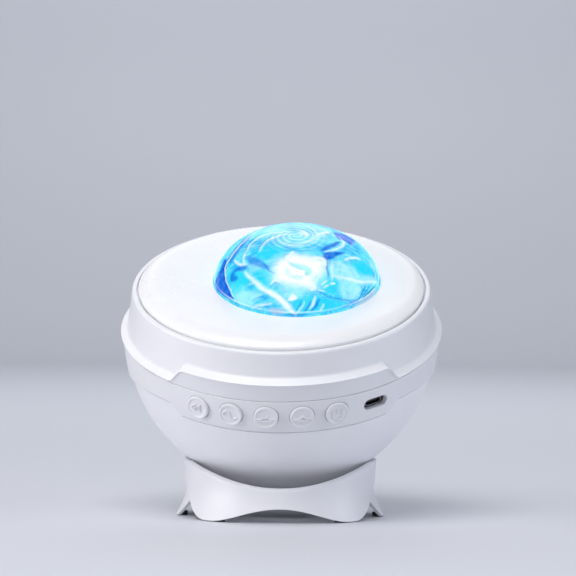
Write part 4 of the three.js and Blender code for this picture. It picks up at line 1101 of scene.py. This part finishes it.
class PROJECTOR_OT_buttons(bpy.types.Operator):
    """Five round buttons with raised signs."""
    bl_idname = "projector.buttons"
    bl_label = "Buttons"

    def execute(self, context):
        sizes = context.scene.projector_sizes
        plastic = moulded_plastic("button_plastic", tuple(context.scene.projector_colours.shell), roughness=0.32)
        face = band_radius(BUTTON_HEIGHT) + BUTTON_PROUD
        dish = face - DISH_DEPTH
        flange = BUTTON_RADIUS + BUTTON_FLANGE
        seat = math.sqrt(BAND_INNER_RADIUS ** 2 - flange ** 2) - GAP
        cap = revolve([
            (0, seat - STEM_DEPTH, 0), (STEM_RADIUS, seat - STEM_DEPTH, 0), (STEM_RADIUS, seat - BUTTON_FLANGE, 0),
            (flange, seat - BUTTON_FLANGE, 0), (flange, seat, 0), (BUTTON_RADIUS, seat, 0),
            (BUTTON_RADIUS, face, BUTTON_ROUND), (BUTTON_RADIUS * DISH_OUTER, face, DISH_ROUND),
            (BUTTON_RADIUS * DISH_INNER, dish, DISH_ROUND), (0, dish, 0)], PIN_SEGMENTS, steps=6)
        for number, (azimuth, sign) in enumerate(zip(BUTTON_AZIMUTHS, self.signs()), 1):
            strokes = [self.stroke(line, dish, sizes) for line in sign]
            mesh = as_mesh(joined(cap, *strokes), outward(azimuth, BUTTON_HEIGHT), angle=40)
            button = f"button_{number}"
            place(f"button_cap_{number}", mesh, plastic, button, button)
        return {"FINISHED"}

    def signs(self):
        """Each button's sign, as lines of points on its face, in millimetres."""
        arrow = [(-2.9, 0.2), (-0.9, 1.7), (-0.9, -1.3), (-2.9, 0.2)]
        back = [arrow, [(x + 2.6, y) for x, y in arrow]]
        wave = [[*arc_line((-1.8, 0.2), (1.5, 1.6), 205, 9, 14), (0.1, -0.8), (0.8, -1.8), (1.6, -2.1), (2.1, -1.4),
                 (3.6, -1.2)]]
        pulse = [[(-4.3, -0.7), (-2, -0.7), (-1.2, 0.3), (-0.4, -0.5), (0.6, 0.9), (1.6, -0.4), (2.4, -0.4),
                  (4.3, -0.4)], [(-3.8, -1.5), (-1, -1.7), (3, -1.2)]]
        peak = [[(-4.3, -0.6), (-1.2, -0.6), (0, 1.2), (0.6, 0.6), (1.8, -0.5), (4.3, -0.6)],
                [(-3.4, -1.2), (3.4, -1.3)]]
        power = [arc_line((0, -0.3), (2.6, 2.6), 50, -230, 28), [(0, 2.6), (0, -0.4)]]
        return back, wave, pulse, peak, power

    def stroke(self, line, base, sizes):
        """A raised line with a rounded back, along a list of points on the button's face."""
        half, height = sizes.icon_line / 2, sizes.icon_height
        closed = line[0] == line[-1]
        points = [Vector((x / 1000, y / 1000, 0)) for x, y in (line[:-1] if closed else line)]
        section = [(-half, -SIGN_SUNK), (-half, height * SIGN_SHOULDER), (-half * SIGN_BACK, height),
                   (half * SIGN_BACK, height), (half, height * SIGN_SHOULDER), (half, -SIGN_SUNK)]
        vertices = []
        count = len(points)
        for i, point in enumerate(points):
            ahead = points[(i + 1) % count] if closed or i < count - 1 else point
            behind = points[i - 1] if closed or i > 0 else point
            along = (ahead - behind).normalized()
            side = Vector((-along.y, along.x, 0))
            vertices += [tuple(point + side * s + Vector((0, 0, base + h))) for s, h in section]
        return vertices, lattice(count, len(section), closed)


class PROJECTOR_OT_inlet(bpy.types.Operator):
    """The USB-C inlet: a folded metal shell with its tongue, and a dark moulding behind."""
    bl_idname = "projector.inlet"
    bl_label = "Inlet"

    def execute(self, context):
        steel = metal("inlet_steel", (0.3, 0.3, 0.33), roughness=0.3)
        black = moulded_plastic("inlet_black", (0.02, 0.02, 0.022), roughness=0.5)
        at = outward(INLET_AZIMUTH, INLET_HEIGHT)
        mouth = band_radius(INLET_HEIGHT) - INLET_SET_BACK
        back = mouth - INLET_DEPTH
        outer = PORT_WIDTH + 2 * PORT_WALL, PORT_HEIGHT + 2 * PORT_WALL
        opening = as_mesh(stadium(*outer, back + PORT_BACK, mouth + CUT_MARGIN), at)
        carrier = as_mesh(stadium(INLET_WIDTH - 2 * GAP, INLET_SLOT - 2 * GAP, back, mouth), at)
        place("inlet_carrier", cut_away(carrier, [opening]), black, "head", "usb_inlet")
        shell = as_mesh(stadium(*outer, back + PORT_BACK, mouth + PORT_PROUD), at)
        hollow = as_mesh(stadium(PORT_WIDTH, PORT_HEIGHT, back + PORT_FLOOR, mouth + CUT_MARGIN), at)
        place("inlet_shell", cut_away(shell, [hollow]), steel, "head")
        tongue = box_part((-PORT_TONGUE_HALF_WIDTH, -PORT_TONGUE_HALF_HEIGHT, back + PORT_TONGUE_BACK),
                          (PORT_TONGUE_HALF_WIDTH, PORT_TONGUE_HALF_HEIGHT, mouth - PORT_TONGUE_FRONT))
        place("inlet_tongue", as_mesh(tongue, at), black, "head")
        return {"FINISHED"}


class PROJECTOR_OT_stand(bpy.types.Operator):
    """The stand: front and back panels with lobes and arches, side legs, spokes and hub."""
    bl_idname = "projector.stand"
    bl_label = "Stand"

    def execute(self, context):
        plastic = moulded_plastic("stand_plastic", tuple(context.scene.projector_colours.stand), roughness=0.36)
        edge = context.scene.projector_sizes.edge_round

        def wall(bottom, top, radius_at, lift=0.0):
            """A skirt's outline, whose inner edge climbs by the lift towards the ball and stops short of it."""
            seat = PIVOT_HEIGHT - math.sqrt((BOWL_RADIUS + GAP) ** 2 - (WAIST_RADIUS - SKIRT_WALL) ** 2)
            heights = [bottom + (top - bottom) * row for row in SKIRT_ROWS]
            outer = [(radius_at(z), z, 0) for z in heights]
            inner = [(radius_at(z) - SKIRT_WALL, min(z, seat), 0) for z in heights][::-1]
            inner[0] = (inner[0][0], min(top + lift, seat), 0)
            outer[0] = (*outer[0][:2], edge)
            outer[-1] = (*outer[-1][:2], STAND_RIM_EDGE * edge)
            return rounded([*outer, *inner], steps=5)

        panels = sweep(ring_of_azimuths(STAND_SEGMENTS, STAND_BENDS), lambda a: wall(
            panel_edge(a), stand_rim(a), skirt_radius, CRADLE_LIFT * abs(math.cos(math.radians(a)))))
        legs = []
        for middle in (SIDE_ANGLE, -SIDE_ANGLE):
            spread = sorted({middle + LEG_ANGLE * i / LEG_STEPS for i in range(-LEG_STEPS, LEG_STEPS + 1)}
                            | {middle - LEG_FOOT_ANGLE, middle + LEG_FOOT_ANGLE})
            legs.append(sweep(spread, lambda a, m=middle: wall(
                PAD_RISE + LEG_SLOPE * max(0, abs(a - m) - LEG_FOOT_ANGLE), stand_rim(a) - LEG_TOP_DROP, leg_radius),
                wraps=False))
        top = FLOOR_HEIGHT + FLOOR_THICKNESS
        hub = revolve([
            (0, FLOOR_HEIGHT, 0), (HUB_RADIUS, FLOOR_HEIGHT, FLOOR_EDGE), (HUB_RADIUS, top, FLOOR_EDGE),
            (CUP_INNER - GAP, top, 0), (CUP_INNER - GAP, top + CUP_PIN_RISE, FLOOR_EDGE),
            (0, top + CUP_PIN_RISE, 0)], PIN_SEGMENTS)
        reach = skirt_radius(FLOOR_HEIGHT) - SKIRT_WALL + SPOKE_BITE
        spoke = box_part((0, -SPOKE_WIDTH / 2, FLOOR_HEIGHT), (reach, SPOKE_WIDTH / 2, top - SPOKE_DROP))
        spokes = [moved(spoke, Matrix.Rotation(math.radians(azimuth), 4, "Z")) for azimuth in SPOKE_AZIMUTHS]
        mesh = as_mesh(joined(panels, *legs, hub, *spokes), angle=38)
        place("stand_moulding", mesh, plastic, "stand", "stand_skirt")
        return {"FINISHED"}


class PROJECTOR_OT_finishes(bpy.types.Operator):
    """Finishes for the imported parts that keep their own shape."""
    bl_idname = "projector.finishes"
    bl_label = "Inner parts"

    def execute(self, context):
        black = moulded_plastic("black_moulding", (0.02, 0.021, 0.024), roughness=0.5)
        white = moulded_plastic("white_moulding", (0.8, 0.8, 0.8), roughness=0.5)
        steel = metal("turned_steel", (0.5, 0.51, 0.54), roughness=0.32)
        brass = metal("machined_brass", (0.78, 0.58, 0.26), roughness=0.28)
        board = circuit_board("green_board")
        clear = clear_plastic("clear_lens", (0.9, 0.97, 1.0))
        pads = rubber("black_rubber", (0.02, 0.02, 0.022))
        looks = {
            "foot_pad": pads, "leg_pad": pads, "seat_cup": rubber("grey_silicone", (0.55, 0.55, 0.6)),
            "dome_retainer": white, "light_funnel": white, "control_board": board, "chassis": black,
            "heat_sink": metal("extruded_aluminium", (0.62, 0.63, 0.66), roughness=0.38), "led_board": white,
            "led_lens": clear, "laser_module": brass, "optics_tube": black, "drive_motor": steel,
            "main_board": board, "speaker_basket": steel, "speaker_cone": rubber("paper_cone", (0.03, 0.03, 0.03)),
            "case_screw": steel, "ripple_disc": clear, "star_grating": clear, "motor_pinion": brass,
        }
        for name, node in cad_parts.items():
            look = next((look for stem, look in looks.items() if name.startswith(stem)), None)
            if look:
                node.data.materials.clear()
                node.data.materials.append(look)
        return {"FINISHED"}


class PROJECTOR_PT_panel(bpy.types.Panel):
    """Lists the projector's sizes, colours and pieces."""
    bl_label = "Star projector"
    bl_space_type = "VIEW_3D"
    bl_region_type = "UI"
    bl_category = "Projector"

    def draw(self, context):
        for group in (context.scene.projector_sizes, context.scene.projector_colours):
            for name in group.__annotations__:
                self.layout.prop(group, name)
        for piece in PIECES:
            self.layout.operator(piece.bl_idname)


PIECES = (PROJECTOR_OT_stage, PROJECTOR_OT_bowl, PROJECTOR_OT_shell, PROJECTOR_OT_dome, PROJECTOR_OT_buttons,
          PROJECTOR_OT_inlet, PROJECTOR_OT_stand, PROJECTOR_OT_finishes)
CLASSES = (ProjectorSizes, ProjectorColours, *PIECES, PROJECTOR_PT_panel)


def register():
    for each in CLASSES:
        bpy.utils.register_class(each)
    bpy.types.Scene.projector_sizes = bpy.props.PointerProperty(type=ProjectorSizes)
    bpy.types.Scene.projector_colours = bpy.props.PointerProperty(type=ProjectorColours)


def unregister():
    del bpy.types.Scene.projector_colours
    del bpy.types.Scene.projector_sizes
    for each in reversed(CLASSES):
        bpy.utils.unregister_class(each)


def main():
    register()
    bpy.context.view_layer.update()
    for piece in PIECES:
        group, name = piece.bl_idname.split(".")
        getattr(getattr(bpy.ops, group), name)()


if __name__ == "__main__":
    main()
